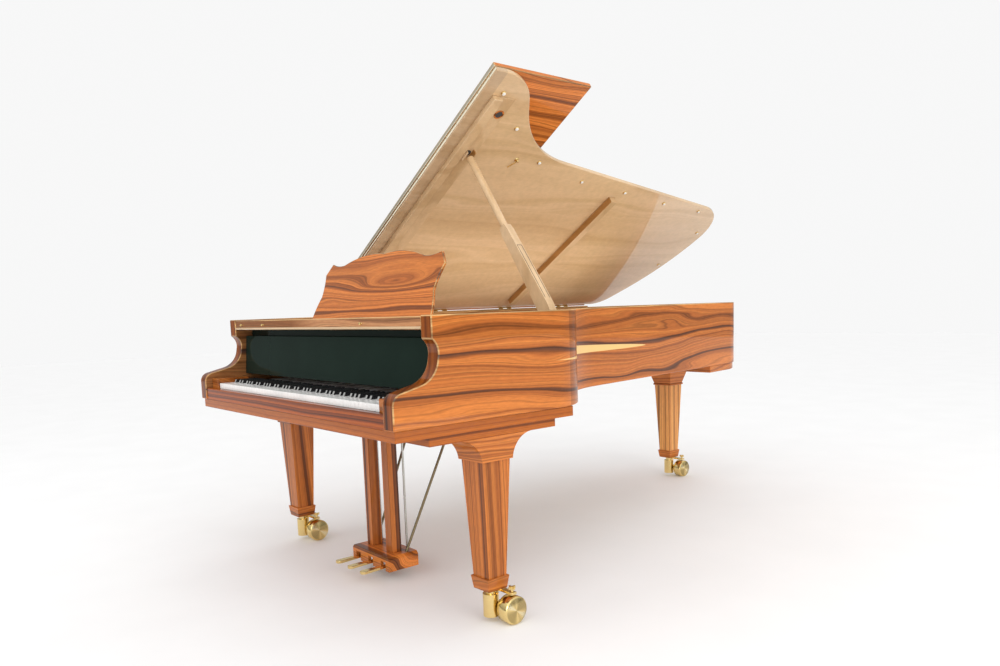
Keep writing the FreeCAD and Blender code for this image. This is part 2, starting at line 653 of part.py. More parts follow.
def make_front():
    """Keybed, the board under it, key slip, key blocks and the rails of the music shelf."""
    bed = box(
        "keybed_board",
        ("case_width - 2 * keybed_inset", "keybed_length - keybed_inset", "keybed_thickness"),
        ("-half + keybed_inset", "keybed_inset", "keybed_bottom"),
    )
    lower = box(
        "lower_board",
        ("case_width - 2 * lower_board_inset", "lower_board_back - lower_board_front", "lower_board_thickness"),
        ("-half + lower_board_inset", "lower_board_front", "lower_board_bottom"),
    )
    piece("keybed", fuse("keybed", bed, lower))
    piece(
        "key_slip",
        box(
            "key_slip",
            ("2 * inner_half", "key_slip_thickness", "key_slip_height"),
            ("-inner_half", "key_slip_front", "rim_bottom"),
        ),
    )
    blocks = []
    slip_back = "key_slip_front + key_slip_thickness"
    for side, x in (("bass", "-inner_half"), ("treble", "keyboard_half + key_block_gap")):
        size = (
            "inner_half - keyboard_half - key_block_gap", "key_block_depth - key_slip_thickness", "key_block_height"
        )
        blocks.append(box(f"{side}_key_block", size, (x, slip_back, "rim_bottom")))
    piece("key_blocks", group("key_blocks", *blocks))
    rails = []
    for side, x in (("bass", "-inner_half"), ("treble", "inner_half - shelf_rail_width")):
        size = ("shelf_rail_width", "shelf_depth - shelf_travel", "shelf_rail_height")
        at = (x, "shelf_front + lip_depth + shelf_travel", "shelf_bottom - shelf_gap - shelf_rail_height")
        rails.append(box(f"{side}_shelf_rail", size, at))
    piece("shelf_rails", group("shelf_rails", *rails))


def natural_key(left, right, tail_left, tail_right):
    """A natural: a wide head and a tail that makes room for the sharps beside it."""
    front, head, back = mm("key_front"), mm("key_front") + mm("key_head"), mm("key_back")
    points = [(left, front), (right, front)]
    if tail_right < right:
        points += [(right, head), (tail_right, head)]
    points += [(tail_right, back), (tail_left, back)]
    if tail_left > left:
        points += [(tail_left, head), (left, head)]
    return slab(points, mm("key_underside"), mm("key_thickness"))


def sharp_key(centre):
    """A sharp: a stick with a raised top whose front slopes."""
    front, slope = mm("key_front") + mm("key_head") + mm("key_gap"), mm("sharp_front_slope")
    low, top = mm("key_underside"), mm("key_top") + mm("sharp_rise")
    rest, end, back = mm("key_top") - mm("key_gap"), front + mm("sharp_length"), mm("key_back")
    side = [(front, low), (back, low), (back, rest), (end, rest), (end, top), (front + slope, top), (front, rest)]
    x = centre - mm("sharp_width") / 2
    corners = [Vector(x, y, z) for y, z in side]
    return Part.Face(Part.makePolygon(corners + corners[:1])).extrude(Vector(mm("sharp_width"), 0, 0))


def make_keys():
    """All keys, one node for each note name."""
    pitch, gap = mm("natural_pitch"), mm("key_gap")
    notes = []
    natural = 0
    number = 0
    while natural < int(mm("natural_count")):
        name = NOTE_NAMES[number % len(NOTE_NAMES)]
        edge = -mm("keyboard_half") + natural * pitch
        if name in SHARP_OFFSET_SHARES:
            notes.append((name, edge + SHARP_OFFSET_SHARES[name] * mm("sharp_width")))
        else:
            notes.append((name, edge))
            natural += 1
        number += 1
    keys = {name: [] for name in NOTE_NAMES}
    reach = mm("sharp_width") / 2 + gap
    for place, (name, x) in enumerate(notes):
        if name in SHARP_OFFSET_SHARES:
            keys[name].append(sharp_key(x))
            continue
        left, right = x + gap / 2, x + pitch - gap / 2
        before = notes[place - 1] if place else ("", 0)
        after = notes[place + 1] if place + 1 < len(notes) else ("", 0)
        tail_left = before[1] + reach if before[0] in SHARP_OFFSET_SHARES else left
        tail_right = after[1] - reach if after[0] in SHARP_OFFSET_SHARES else right
        keys[name].append(natural_key(left, right, tail_left, tail_right))
    for name in NOTE_NAMES:
        piece(f"keys_{name}", formed(f"keys_{name}", keys[name]))


def make_action():
    """Key frame under the keys, and the action stack with its hammers on the frame's back rail."""
    width = "keyboard_width"
    low = "frame_bottom"
    front = box("front_rail", (width, "frame_rail", "frame_rail_height"),
                ("-keyboard_half", "key_front", low))
    balance = box("balance_rail", (width, "frame_rail", "seat_height - frame_bottom - balance_bead_height"),
                  ("-keyboard_half", "balance_y - frame_rail / 2", low))
    bead = box("balance_bead", (width, "balance_bead_width", "balance_bead_height"),
               ("-keyboard_half", "balance_y - balance_bead_width / 2", "seat_height - balance_bead_height"))
    back = box("back_rail", (width, "back_rail_depth", "seat_height - frame_bottom"),
               ("-keyboard_half", "key_back - frame_rail", low))
    ends = []
    for side, x in (("bass", "-keyboard_half"), ("treble", "keyboard_half - frame_end_width")):
        size = ("frame_end_width", "key_length", "frame_rail_height")
        ends.append(box(f"{side}_frame_end", size, (x, "key_front", low)))
    piece("key_frame", fuse("key_frame", front, balance, bead, back, *ends))
    rail_front = "key_back + key_head - action_rail_depth"
    rail = box("action_rail", ("action_rail_width", "action_rail_depth", "action_rail_height"),
               ("-action_rail_width / 2", rail_front, "action_bottom"))
    brackets = []
    count = int(mm("bracket_count"))
    for n in range(count):
        x = f"(action_rail_width - bracket_width) * {n} / (bracket_count - 1) - action_rail_width / 2"
        at = (x, "key_back + bracket_gap", "seat_height")
        brackets.append(box("bracket", ("bracket_width", "bracket_depth", "bracket_height"), at))
    hammers = []
    top, shank, depth = mm("action_top"), mm("hammer_shank"), mm("hammer_head_depth")
    rear = mm("hammer_line")
    start = mm("key_back") + mm("key_head") - mm("action_rail_depth") / 2
    tip = top + mm("hammer_head")
    side = [
        (start, top), (rear, top), (rear + depth / 2, top + shank), (rear + depth / 3, tip - shank),
        (rear, tip), (rear - depth / 3, tip - shank), (rear - depth / 2, top + shank), (start, top + shank),
    ]
    count = int(mm("hammer_count"))
    for n in range(count):
        x = (n - count / 2) * mm("hammer_pitch")
        corners = [Vector(x, y, z) for y, z in side]
        face = Part.Face(Part.makePolygon(corners + corners[:1]))
        hammers.append(face.extrude(Vector(mm("hammer_width"), 0, 0)))
    row = formed("hammer_row", hammers)
    piece("action_stack", group("action_stack", rail, *brackets, row))


def make_fallboard():
    """The open fallboard, leaning back a little above the keys."""
    lean = math.radians(mm("fallboard_lean_angle"))
    y, z = mm("fallboard_front"), mm("fallboard_bottom")
    high = mm("fallboard_height")
    across, up = (math.cos(lean), -math.sin(lean)), (math.sin(lean), math.cos(lean))
    thick = mm("fallboard_thickness")
    a = (y, z)
    b = (y + across[0] * thick, z + across[1] * thick)
    c = (b[0] + up[0] * high, b[1] + up[1] * high)
    d = (a[0] + up[0] * high, a[1] + up[1] * high)
    round_back = bow(c, d, mm("nose_bow_share"))
    edges = [line(a, b), line(b, c), round_back, line(d, a)]
    board = prism("fallboard", edges, "2 * (inner_half - side_clearance)",
                  ("-inner_half + side_clearance", "0", "0"), FACING_TREBLE)
    piece("fallboard", board)


DESK_SHARES = {"waist": (0.935, 0.40), "shoulder": (0.985, 0.76), "ear": (0.9, 0.935), "dip": (0.665, 0.895)}


def make_music_rest():
    """The music shelf with its front lip, and the desk that leans back on it."""
    board = box("shelf_board", ("2 * (inner_half - side_clearance)", "shelf_depth", "shelf_thickness"),
                ("-inner_half + side_clearance", "shelf_front", "shelf_bottom"))
    lip = box("shelf_lip", ("2 * (inner_half - side_clearance)", "lip_depth", "lip_height"),
              ("-inner_half + side_clearance", "shelf_front", "shelf_bottom - lip_drop"))
    piece("music_shelf", fuse("music_shelf", board, lip))
    half, high = mm("desk_half_width"), mm("desk_height")

    def spot(name, side):
        across, up = DESK_SHARES[name]
        return side * across * half, up * high

    crown = (0, high)
    right = [(half, 0)] + [spot(n, 1) for n in ("waist", "shoulder", "ear", "dip")] + [crown]
    left = [(-x, y) for x, y in right]
    bows = [mm("cheek_bow_share") / 3, -mm("cheek_bow_share") / 3, 0, -mm("nose_bow_share") / 3,
            mm("nose_bow_share") / 3]
    edges = [line(left[0], right[0])]
    for n, rise in enumerate(bows):
        for side, points in ((1, right), (-1, left)):
            a, b = points[n], points[n + 1]
            edges.append(bow(a, b, -side * rise) if rise else line(a, b))
    lean = Rotation(Vector(1, 0, 0), 90 - mm("desk_lean_angle"))
    pose = Placement(Vector(0, mm("desk_foot"), mm("shelf_top") + mm("desk_gap")), lean)
    piece("music_desk", prism("music_desk", edges, "desk_thickness", pose=pose))


def lid_pose():
    """How far the lid stands open, turned about its hinge line."""
    centre = Vector(mm("hinge_x"), 0, mm("hinge_z"))
    return Placement(Vector(), Rotation(Vector(0, 1, 0), -mm("lid_angle")), centre)


def raised(label, thing):
    """List a piece drawn on the closed lid, and turn it up with the lid."""
    thing.Placement = lid_pose().multiply(thing.Placement)
    return piece(label, thing)


def make_lid():
    """Lid panel with its stiffener bars, and the front flap folded back on it."""
    out = -mm("lid_overhang")
    plan = case_region(out, mm("lid_front"))
    raised("lid_panel", padded_body("lid_panel", plan, "lid_thickness", "lid_underside"))
    half, start = mm("half") - out, mm("lid_front")
    end = start + mm("flap_depth")
    corners = [(-half, start), (half, start), (half, end), (-half, end)]
    raised("lid_flap", padded_body("lid_flap", outline(corners), "lid_thickness", "flap_bottom"))
    bars = []
    for name in ("front_bar", "rear_bar"):
        left = mm("lid_bar_start") - mm("half")
        right, y = mm(f"{name}_end") - mm("half"), mm(f"{name}_line")
        wide = mm("lid_bar_width") / 2
        corners = [(left, y - wide), (right, y - wide), (right, y + wide), (left, y + wide)]
        bar = padded_body(name, outline(corners), f"{name}_height", f"lid_underside - {name}_height")
        bar.Placement = lid_pose()
        bars.append(bar)
    reach = mm("sleeve_depth") / 2 + mm("prop_fork_gap")
    x0 = mm("prop_seat") - mm("half") - mm("prop_fork_length") / 2
    x1 = x0 + mm("prop_fork_length")
    for name, side in (("front_fork", -1), ("rear_fork", 1)):
        near, far = mm("prop_y") + side * reach, mm("prop_y") + side * (reach + mm("prop_fork_width"))
        corners = [(x0, near), (x1, near), (x1, far), (x0, far)]
        cheek = padded_body(name, outline(corners), "prop_fork_drop", "lid_underside - prop_fork_drop")
        cheek.Placement = lid_pose()
        bars.append(cheek)
    piece("lid_bars", group("lid_bars", *bars))


def make_lid_hinges():
    """Hinges along the spine: a case leaf with two knuckles and a lid leaf with the one between them."""
    along_axis = Rotation(Vector(1, 0, 0), -90)
    case_leaves, lid_leaves = [], []
    for n in range(int(mm("hinge_count"))):
        start = f"hinge_first + hinge_pitch * {n}"
        third = "hinge_length / 3"
        plate = box("case_leaf", ("hinge_leaf", "hinge_length", "hinge_leaf_height"),
                    ("-half - hinge_leaf", start, "rim_top - hinge_leaf_height"))
        knuckles = [plate]
        for end in (0, 2):
            y = f"{start} + {third} * {end}"
            knuckles.append(cylinder("knuckle", "hinge_radius", third, ("hinge_x", y, "hinge_z"), along_axis))
            knuckles.append(
                box("neck", ("hinge_out - hinge_leaf / 2", third, "hinge_leaf"),
                    ("hinge_x", y, "rim_top - hinge_leaf"))
            )
            knuckles.append(
                box("web", ("hinge_leaf", third, "hinge_z - rim_top + hinge_leaf"),
                    ("hinge_x - hinge_leaf / 2", y, "rim_top - hinge_leaf"))
            )
        case_leaves.append(fuse("case_hinge", *knuckles))
        middle = f"{start} + {third} + knuckle_gap"
        size_y = f"{third} - 2 * knuckle_gap"
        barrel = cylinder("barrel", "hinge_radius", size_y, ("hinge_x", middle, "hinge_z"), along_axis)
        arm = box("lid_leaf", ("hinge_out - lid_overhang", size_y, "hinge_leaf"),
                  ("hinge_x", middle, "hinge_z - hinge_leaf / 2"))
        leaf = fuse("lid_hinge", barrel, arm)
        leaf.Placement = lid_pose()
        lid_leaves.append(leaf)
    width = "case_width + 2 * lid_overhang"
    leaf = box("flap_leaf", (width, "flap_leaf", "flap_leaf_height"),
               ("-half - lid_overhang", "lid_front - flap_leaf", "fold_height - flap_leaf_height"))
    barrel = cylinder("flap_barrel", "flap_barrel_radius", width,
                      ("-half - lid_overhang", "lid_front - flap_barrel_out", "fold_height"), SIDEWAYS)
    strip = fuse("flap_hinge", leaf, barrel)
    strip.Placement = lid_pose()
    piece("lid_hinges", group("lid_hinges", *lid_leaves, strip))
    return case_leaves


def make_prop():
    """The lid prop: a sleeve on its pin and the stick that slides in it. Returns the bracket of the pin."""
    foot = Vector(mm("prop_x"), mm("prop_y"), mm("prop_z"))
    seat = Vector(mm("prop_seat") - mm("half"), mm("prop_y"), mm("lid_underside"))
    way = lid_pose().multVec(seat) - foot
    pose = Placement(foot, Rotation(Vector(0, 0, 1), way))
    foot_half, hip_half, hip = mm("sleeve_foot_width") / 2, mm("sleeve_hip_width") / 2, mm("sleeve_hip")
    half, neck = mm("sleeve_width") / 2, mm("sleeve_neck") / 2
    top, shoulder = mm("sleeve_length"), mm("sleeve_length") - mm("sleeve_shoulder")
    profile = [
        bow((foot_half, 0), (-foot_half, 0), 0.5),
        line((-foot_half, 0), (-hip_half, hip)), line((-hip_half, hip), (-half, shoulder)),
        line((-half, shoulder), (-neck, top)), line((-neck, top), (neck, top)), line((neck, top), (half, shoulder)),
        line((half, shoulder), (hip_half, hip)), line((hip_half, hip), (foot_half, 0)),
        Part.Circle(Vector(0, 0, 0), Vector(0, 0, 1), mm("prop_pin_radius") + mm("prop_pin_fit")),
    ]
    front = Placement(Vector(0, mm("sleeve_depth") / 2, 0), UPRIGHT)
    blank = prism("sleeve_blank", profile, "sleeve_depth", pose=pose.multiply(front))
    bore = doc.addObject("Part::Cylinder", "sleeve_bore")
    bind(bore, Radius="stick_radius + stick_fit", Height="sleeve_length - sleeve_floor + overrun")
    bore.Placement = pose.multiply(Placement(Vector(0, 0, mm("sleeve_floor")), Rotation()))
    piece("prop_sleeve", cut("prop_sleeve", blank, bore))
    low = mm("sleeve_length") - mm("stick_inset")
    stick = doc.addObject("Part::Cylinder", "prop_stick")
    bind(stick, Radius="stick_radius")
    stick.Height = way.Length - mm("prop_gap") - low
    stick.Placement = pose.multiply(Placement(Vector(0, 0, low), Rotation()))
    piece("prop_stick", stick)
    ears = []
    start = "prop_y - sleeve_depth / 2 - prop_ear_gap - prop_ear"
    for y in (start, "prop_y + sleeve_depth / 2 + prop_ear_gap"):
        size = ("inner_half - prop_x + prop_pin_radius * 2", "prop_ear", "prop_ear_height")
        ears.append(box("prop_ear", size, ("prop_x - prop_pin_radius * 2", y, "prop_z - prop_ear_height / 2")))
    pin = cylinder("prop_pin", "prop_pin_radius", "sleeve_depth + 2 * (prop_ear + prop_ear_gap)",
                   ("prop_x", start, "prop_z"), Rotation(Vector(1, 0, 0), -90))
    plan = case_region(mm("rim_wall"), mm("lid_front"))
    inside = prism("rim_inside", plan, "rim_height", ("0", "0", "rim_bottom"))
    return common("prop_bracket", fuse("prop_ears", *ears, pin), inside)


def make_leg(label, x, y, capital):
    """A tapered square leg with its foot collar, joined to its capital."""
    shaft = taper(f"{label}_shaft", "leg_bottom_width", "leg_top_width", "leg_shaft_top - leg_shaft_bottom",
                  (x, y, "leg_shaft_bottom"))
    collar = taper(f"{label}_collar", "collar_bottom_width", "collar_width", "leg_shaft_bottom - collar_bottom",
                   (x, y, "collar_bottom"))
    piece(label, fuse(label, shaft, collar, capital))


def make_legs():
    """Two front legs with coved brackets under the lower board, and the tail leg with its flared capital."""
    top, low = mm("lower_board_bottom"), mm("leg_shaft_top")
    front, back = mm("leg_y") - mm("capital_width") / 2, mm("leg_y") + mm("capital_width") / 2
    nose, heel = front - mm("cove_reach"), back + mm("cove_reach")
    edges = [
        line((front, low), (back, low)), bow((back, low), (heel, top), mm("cove_bow_share")),
        line((heel, top), (nose, top)), bow((nose, top), (front, low), mm("cove_bow_share")),
    ]
    for side, x in (("bass", "-leg_x"), ("treble", "leg_x")):
        capital = prism(f"{side}_capital", edges, "capital_width", (f"{x} - capital_width / 2", "0", "0"),
                        FACING_TREBLE)
        make_leg(f"{side}_leg", x, "leg_y", capital)
    fillet = taper("tail_fillet", "tail_fillet_width", "tail_fillet_width", "tail_fillet_height",
                   ("tail_leg_x", "tail_leg_y", "leg_shaft_top"))
    head = taper("tail_capital", "tail_capital_width", "tail_capital_width + tail_capital_spread",
                 "keybed_bottom - leg_shaft_top - tail_fillet_height",
                 ("tail_leg_x", "tail_leg_y", "leg_shaft_top + tail_fillet_height"))
    make_leg("tail_leg", "tail_leg_x", "tail_leg_y", fuse("tail_leg_head", fillet, head))


def make_caster(side, x, y):
    """A brass caster: swivel post with its axle, wheel, and a brake screw above the wheel."""
    wheel_y = f"{y} + wheel_trail"
    post = cylinder("caster_post", "caster_post_radius", "caster_post_top - caster_post_bottom",
                    (x, y, "caster_post_bottom"))
    stem = cylinder("caster_stem", "stem_radius", "collar_bottom - caster_gap - caster_post_top",
                    (x, y, "caster_post_top"))
    horn = box("caster_horn", ("caster_horn_width", "wheel_trail", "2 * hub_radius"),
               (f"{x} - caster_horn_width / 2", y, "wheel_radius - hub_radius"))
    boss_start = f"{x} - caster_horn_width / 2"
    boss = cylinder("axle_boss", "hub_radius", "wheel_side - wheel_width / 2 - hub_gap + caster_horn_width / 2",
                    (boss_start, wheel_y, "wheel_radius"), SIDEWAYS)
    axle = cylinder("axle", "axle_radius", "wheel_side + wheel_width / 2 - wheel_face - axle_end_gap",
                    (x, wheel_y, "wheel_radius"), SIDEWAYS)
    arm_height = "caster_post_top + brake_arm_gap"
    root = box("brake_root", ("caster_horn_width", "wheel_trail + brake_radius * 2", "brake_arm_height"),
               (f"{x} - caster_horn_width / 2", y, arm_height))
    arm = box("brake_arm", ("brake_out + brake_radius * 2", "brake_radius * 4", "brake_arm_height"),
              (x, f"{wheel_y} - brake_radius * 2", arm_height))
    piece(f"{side}_caster_body", fuse(f"{side}_caster_body", post, stem, horn, boss, axle, root, arm))
    radius, edge, half = mm("wheel_radius"), mm("wheel_round"), mm("wheel_width") / 2
    bore, bore_end = mm("axle_radius") + mm("axle_fit"), half - mm("wheel_face")
    points = [
        (-half, bore), (-half, radius - edge), (-half + edge, radius), (half - edge, radius),
        (half, radius - edge), (half, 0), (bore_end, 0), (bore_end, bore),
    ]
    sketch = doc.addObject("Sketcher::SketchObject", f"{side}_wheel_profile")
    sketch.addGeometry(outline(points), False)
    put(sketch, (f"{x} + wheel_side", wheel_y, "wheel_radius"))
    doc.recompute()
    wheel = doc.addObject("Part::Revolution", f"{side}_wheel")
    wheel.Source = sketch
    wheel.Axis = Vector(1, 0, 0)
    wheel.Base = sketch.Placement.Base
    wheel.Angle = 360
    wheel.Solid = True
    piece(f"{side}_caster_wheel", wheel)
    screw = cylinder("brake_screw", "brake_radius", "brake_height", (f"{x} + brake_out", wheel_y, "brake_bottom"))
    wings = []
    for name, size in (
        ("brake_wing", ("brake_wing", "brake_wing_thickness")),
        ("brake_cross", ("brake_wing_thickness", "brake_wing")),
    ):
        at = (f"{x} + brake_out - {size[0]} / 2", f"{wheel_y} - {size[1]} / 2", "brake_bottom + brake_height / 2")
        wings.append(box(name, (*size, "brake_height / 2"), at))
    piece(f"{side}_brake_screw", fuse(f"{side}_brake_screw", screw, *wings))


def make_lyre():
    """Pedal lyre: frame, hollow pedal box, pedals, rods and the two braces behind."""
    posts = []
    for side in ("-post_x", "post_x"):
        size = ("post_width", "post_width", "lower_board_bottom - lyre_top")
        at = (f"{side} - post_width / 2", "post_front", "lyre_top")
        posts.append(box("lyre_post", size, at))
    head = box("lyre_head", ("2 * lyre_half_width", "post_width + lyre_head_spread", "lyre_head_height"),
               ("-lyre_half_width", "post_front - lyre_head_spread / 2",
                "lower_board_bottom - lyre_head_height"))
    piece("lyre_frame", fuse("lyre_frame", *posts, head))
    wide, bevel = mm("lyre_half_width"), mm("lyre_bevel")
    low, top = mm("lyre_bottom"), mm("lyre_top")
    side = [(-wide, low), (wide, low), (wide, top - bevel), (wide - bevel, top), (bevel - wide, top),
            (-wide, top - bevel)]
    shell = prism("pedal_box_shell", outline(side), "lyre_depth", ("0", "lyre_front + lyre_depth", "0"), UPRIGHT)
    hollow = box("pedal_box_room",
                 ("2 * (lyre_half_width - lyre_wall)", "lyre_depth - 2 * lyre_wall",
                  "lyre_box_height - lyre_wall + overrun"),
                 ("lyre_wall - lyre_half_width", "lyre_front + lyre_wall", "lyre_bottom - overrun"))
    holes = []
    for n in (-1, 0, 1):
        centre = f"{n} * pedal_pitch"
        holes.append(box("pedal_slot", ("pedal_root_width + 2 * pedal_slot", "lyre_wall + 2 * overrun",
                                        "lyre_box_height - lyre_wall - lyre_bevel + overrun"),
                         (f"{centre} - pedal_root_width / 2 - pedal_slot", "lyre_front - overrun",
                          "lyre_bottom - overrun")))
        holes.append(cylinder("rod_hole", "rod_radius + rod_hole_gap", "lyre_box_height + overrun",
                              (centre, "rod_y", "lyre_bottom")))
    axle = cylinder("pedal_axle", "rod_radius", "2 * (lyre_half_width - lyre_wall)",
                    ("lyre_wall - lyre_half_width", "pedal_pivot", "pedal_height - pedal_axle_gap - rod_radius"),
                    SIDEWAYS)
    piece("pedal_box", fuse("pedal_box", cut("pedal_box_walls", shell, hollow, *holes), axle))
    tip, tail = mm("pedal_tip"), mm("pedal_tail")
    round_end, root = mm("pedal_width") / 2, mm("pedal_root_width") / 2
    waist = mm("lyre_front")
    for number, name in ((-1, "shift_pedal"), (0, "sostenuto_pedal"), (1, "damper_pedal")):
        x = number * mm("pedal_pitch")
        edges = [
            bow((x - round_end, tip + round_end), (x + round_end, tip + round_end), -0.5),
            line((x + round_end, tip + round_end), (x + root, waist)),
            line((x + root, waist), (x + root, tail)), line((x + root, tail), (x - root, tail)),
            line((x - root, tail), (x - root, waist)), line((x - root, waist), (x - round_end, tip + round_end)),
        ]
        piece(name, prism(name, edges, "pedal_thickness", ("0", "0", "pedal_height")))
        rod_low = "pedal_height + pedal_thickness + rod_gap"
        rod = cylinder(f"{name}_rod", "rod_radius", f"lower_board_bottom - rod_top_gap - ({rod_low})",
                       (f"{number} * pedal_pitch", "rod_y", rod_low))
        piece(f"{name}_rod", rod)
    braces = []
    foot_y = mm("lyre_front") + mm("lyre_depth") - mm("brace_foot_gap")
    head_y = mm("keybed_length") - mm("brace_head_gap")
    for side in (-1, 1):
        foot = Vector(side * mm("brace_x"), foot_y, mm("lyre_top"))
        way = Vector(side * mm("brace_head_x"), head_y, mm("keybed_bottom")) - foot
        rod = doc.addObject("Part::Cylinder", "brace")
        bind(rod, Radius="brace_radius")
        rod.Height = way.Length + 2 * mm("overrun")
        start = foot - Vector(way).normalize() * mm("overrun")
        rod.Placement = Placement(start, Rotation(Vector(0, 0, 1), way))
        braces.append(rod)
    room = box("brace_room", ("case_width", "case_length", "keybed_bottom - lyre_top"), ("-half", "0", "lyre_top"))
    piece("lyre_braces", common("lyre_braces", group("brace_pair", *braces), room))


def check_and_write():
    """Stop on anything that failed to build, then write one file for each sub-part."""
    doc.recompute()
    for thing in doc.Objects:
        if "Invalid" in thing.State or "Error" in thing.State:
            raise RuntimeError(f"{thing.Name} failed to build: {thing.State}")
    os.makedirs("parts", exist_ok=True)
    for thing in pieces:
        shape = thing.Shape
        if shape.isNull() or not shape.isValid() or not shape.Solids:
            raise RuntimeError(f"{thing.Label} has no valid solid")
        bounds = shape.BoundBox
        print(f"{thing.Label}: {len(shape.Solids)} solids, {shape.Volume / 1000:.0f} cm3, "
              f"x {bounds.XMin:.1f}..{bounds.XMax:.1f} y {bounds.YMin:.1f}..{bounds.YMax:.1f} "
              f"z {bounds.ZMin:.1f}..{bounds.ZMax:.1f}")
        shape.exportStep(f"parts/{thing.Label}.step")
    print(len(pieces), "nodes")


make_outer_rim()
make_inner_case()
make_plate()
make_strings()
make_bridges()
make_dampers()
make_front()
make_keys()
make_action()
make_fallboard()
make_music_rest()
make_lid()
case_leaves = make_lid_hinges()
piece("rim_hardware", group("rim_hardware", *case_leaves, make_prop()))
make_legs()
for caster_side, caster_x, caster_y in (
    ("bass", "-leg_x", "leg_y"), ("treble", "leg_x", "leg_y"), ("tail", "tail_leg_x", "tail_leg_y"),
):
    make_caster(caster_side, caster_x, caster_y)
make_lyre()
check_and_write()
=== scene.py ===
"""Finishes a packed concert grand piano: veneers, lacquer, brass, keys, lid fittings, light and camera."""
import json
import math

import bmesh
import bpy
from bpy.props import FloatProperty, FloatVectorProperty, PointerProperty
from mathutils import Matrix, Vector


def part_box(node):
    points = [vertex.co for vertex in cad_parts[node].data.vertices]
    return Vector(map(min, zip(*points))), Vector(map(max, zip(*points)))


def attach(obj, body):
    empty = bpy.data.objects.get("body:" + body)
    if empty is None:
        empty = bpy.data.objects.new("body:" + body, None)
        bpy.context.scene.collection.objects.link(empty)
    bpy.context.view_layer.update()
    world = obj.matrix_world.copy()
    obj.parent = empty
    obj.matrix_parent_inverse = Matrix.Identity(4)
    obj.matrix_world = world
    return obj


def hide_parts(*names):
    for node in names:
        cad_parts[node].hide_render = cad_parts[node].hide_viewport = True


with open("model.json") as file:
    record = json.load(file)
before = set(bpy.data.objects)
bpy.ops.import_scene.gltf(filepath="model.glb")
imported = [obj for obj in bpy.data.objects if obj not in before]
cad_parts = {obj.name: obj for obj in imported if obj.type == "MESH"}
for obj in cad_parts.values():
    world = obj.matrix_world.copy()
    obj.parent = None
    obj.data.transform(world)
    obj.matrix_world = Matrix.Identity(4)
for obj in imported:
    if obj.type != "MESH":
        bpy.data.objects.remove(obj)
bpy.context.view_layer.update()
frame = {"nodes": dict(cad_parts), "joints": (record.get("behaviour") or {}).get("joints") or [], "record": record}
RECORD = frame["record"]
BODY_OF = {node: body for body, nodes in RECORD["behaviour"]["bodies"].items() for node in nodes}
JOINT_OF = {joint["name"]: joint for joint in frame["joints"]}
LID_JOINT = JOINT_OF["lid_hinge"]
LID_AXIS = Vector(LID_JOINT["pos_m"])

bl_info = {
    "name": "Grand piano finish",
    "version": (1, 0, 0),
    "blender": (4, 5, 0),
    "location": "View3D > Sidebar > Piano",
    "description": "Dresses the packed grand piano and sets up its studio",
    "category": "Object",
}


def colour(name, description, value):
    return FloatVectorProperty(
        name=name, description=description, subtype="COLOR", size=3, min=0.0, max=1.0, default=value
    )


def length(name, description, value):
    return FloatProperty(
        name=name, description=description, subtype="DISTANCE", unit="LENGTH", min=0.0, default=value
    )


def brightness(name, description, value):
    return FloatProperty(name=name, description=description, min=0.0, default=value)


class PianoFinish(bpy.types.PropertyGroup):
    """Colours of the veneers, lacquers and metals."""

    rosewood_light: colour("Rosewood light", "Light bands of the outside veneer", (0.67, 0.212, 0.042))
    rosewood_mid: colour("Rosewood middle", "Main tone of the outside veneer", (0.45, 0.125, 0.024))
    rosewood_dark: colour("Rosewood dark", "Dark lines of the outside veneer", (0.13, 0.042, 0.016))
    sapwood: colour("Sapwood", "Pale wedge in the veneer of the bent side", (0.80, 0.53, 0.20))
    maple_light: colour("Maple light", "Light tone of the inside veneer", (0.72, 0.50, 0.285))
    maple_dark: colour("Maple dark", "Dark tone of the inside veneer", (0.57, 0.37, 0.185))
    brass: colour("Brass", "Polished brass", (0.88, 0.67, 0.29))
    # Black lacquer whose green cast is a painted reflection
    lacquer: colour("Black lacquer", "Fallboard, dampers and shelf strip", (0.011, 0.022, 0.0165))
    ivory: colour("Key white", "Tops of the naturals", (0.97, 0.965, 0.945))
    ebony: colour("Key black", "Sharps", (0.012, 0.012, 0.013))
    gilt: colour("Gilt iron", "Bronze paint of the iron plate", (0.62, 0.40, 0.13))
    spruce: colour("Spruce", "Soundboard", (0.66, 0.43, 0.19))


class PianoDetail(bpy.types.PropertyGroup):
    """Sizes of the rounded edges and of the small fittings."""

    case_edge: length("Case edge", "Round of the case's edges", 0.006)
    board_edge: length("Board edge", "Round of boards, legs and lyre", 0.003)
    key_edge: length("Key edge", "Round of the keys' edges", 0.0007)
    sharp_edge: length("Sharp edge", "Round of the black keys' edges", 0.002)
    metal_edge: length("Metal edge", "Round of pedals, caster bodies and iron plate", 0.002)
    sleeve_edge: length("Sleeve edge", "Round of the prop's sleeve", 0.002)
    trim_edge: length("Trim edge", "Round of the prop's stick and the shelf strip", 0.001)
    plank_edge: length("Plank edge", "Round of the plank under the lid", 0.0015)
    screw_edge: length("Screw edge", "Round of the brake screws", 0.0006)
    catch_edge: length("Catch edge", "Round of the lid's catch", 0.0005)
    button_radius: length("Button radius", "Rubber buttons under the lid", 0.009)
    socket_radius: length("Socket radius", "Prop's socket under the lid", 0.020)


class PianoStage(bpy.types.PropertyGroup):
    """Camera and light."""

    lens: FloatProperty(
        name="Lens", description="Focal length of the camera", unit="CAMERA", default=28.337
    )
    floor_size: length("Floor", "Side of the floor", 40.0)
    softbox: FloatProperty(
        name="Softbox", description="Power of the larger softbox", subtype="POWER", default=42.0
    )
    sun: brightness("Sun", "Strength of the broad light from the front", 0.55)
    sky: brightness("Sky", "Strength of the even light all round", 0.98)


def scaled(values, factor):
    """A tuple of values, each times a factor."""
    return tuple(value * factor for value in values)


def finish():
    return bpy.context.scene.piano_finish


def detail():
    return bpy.context.scene.piano_detail


# Materials by name
made = {}


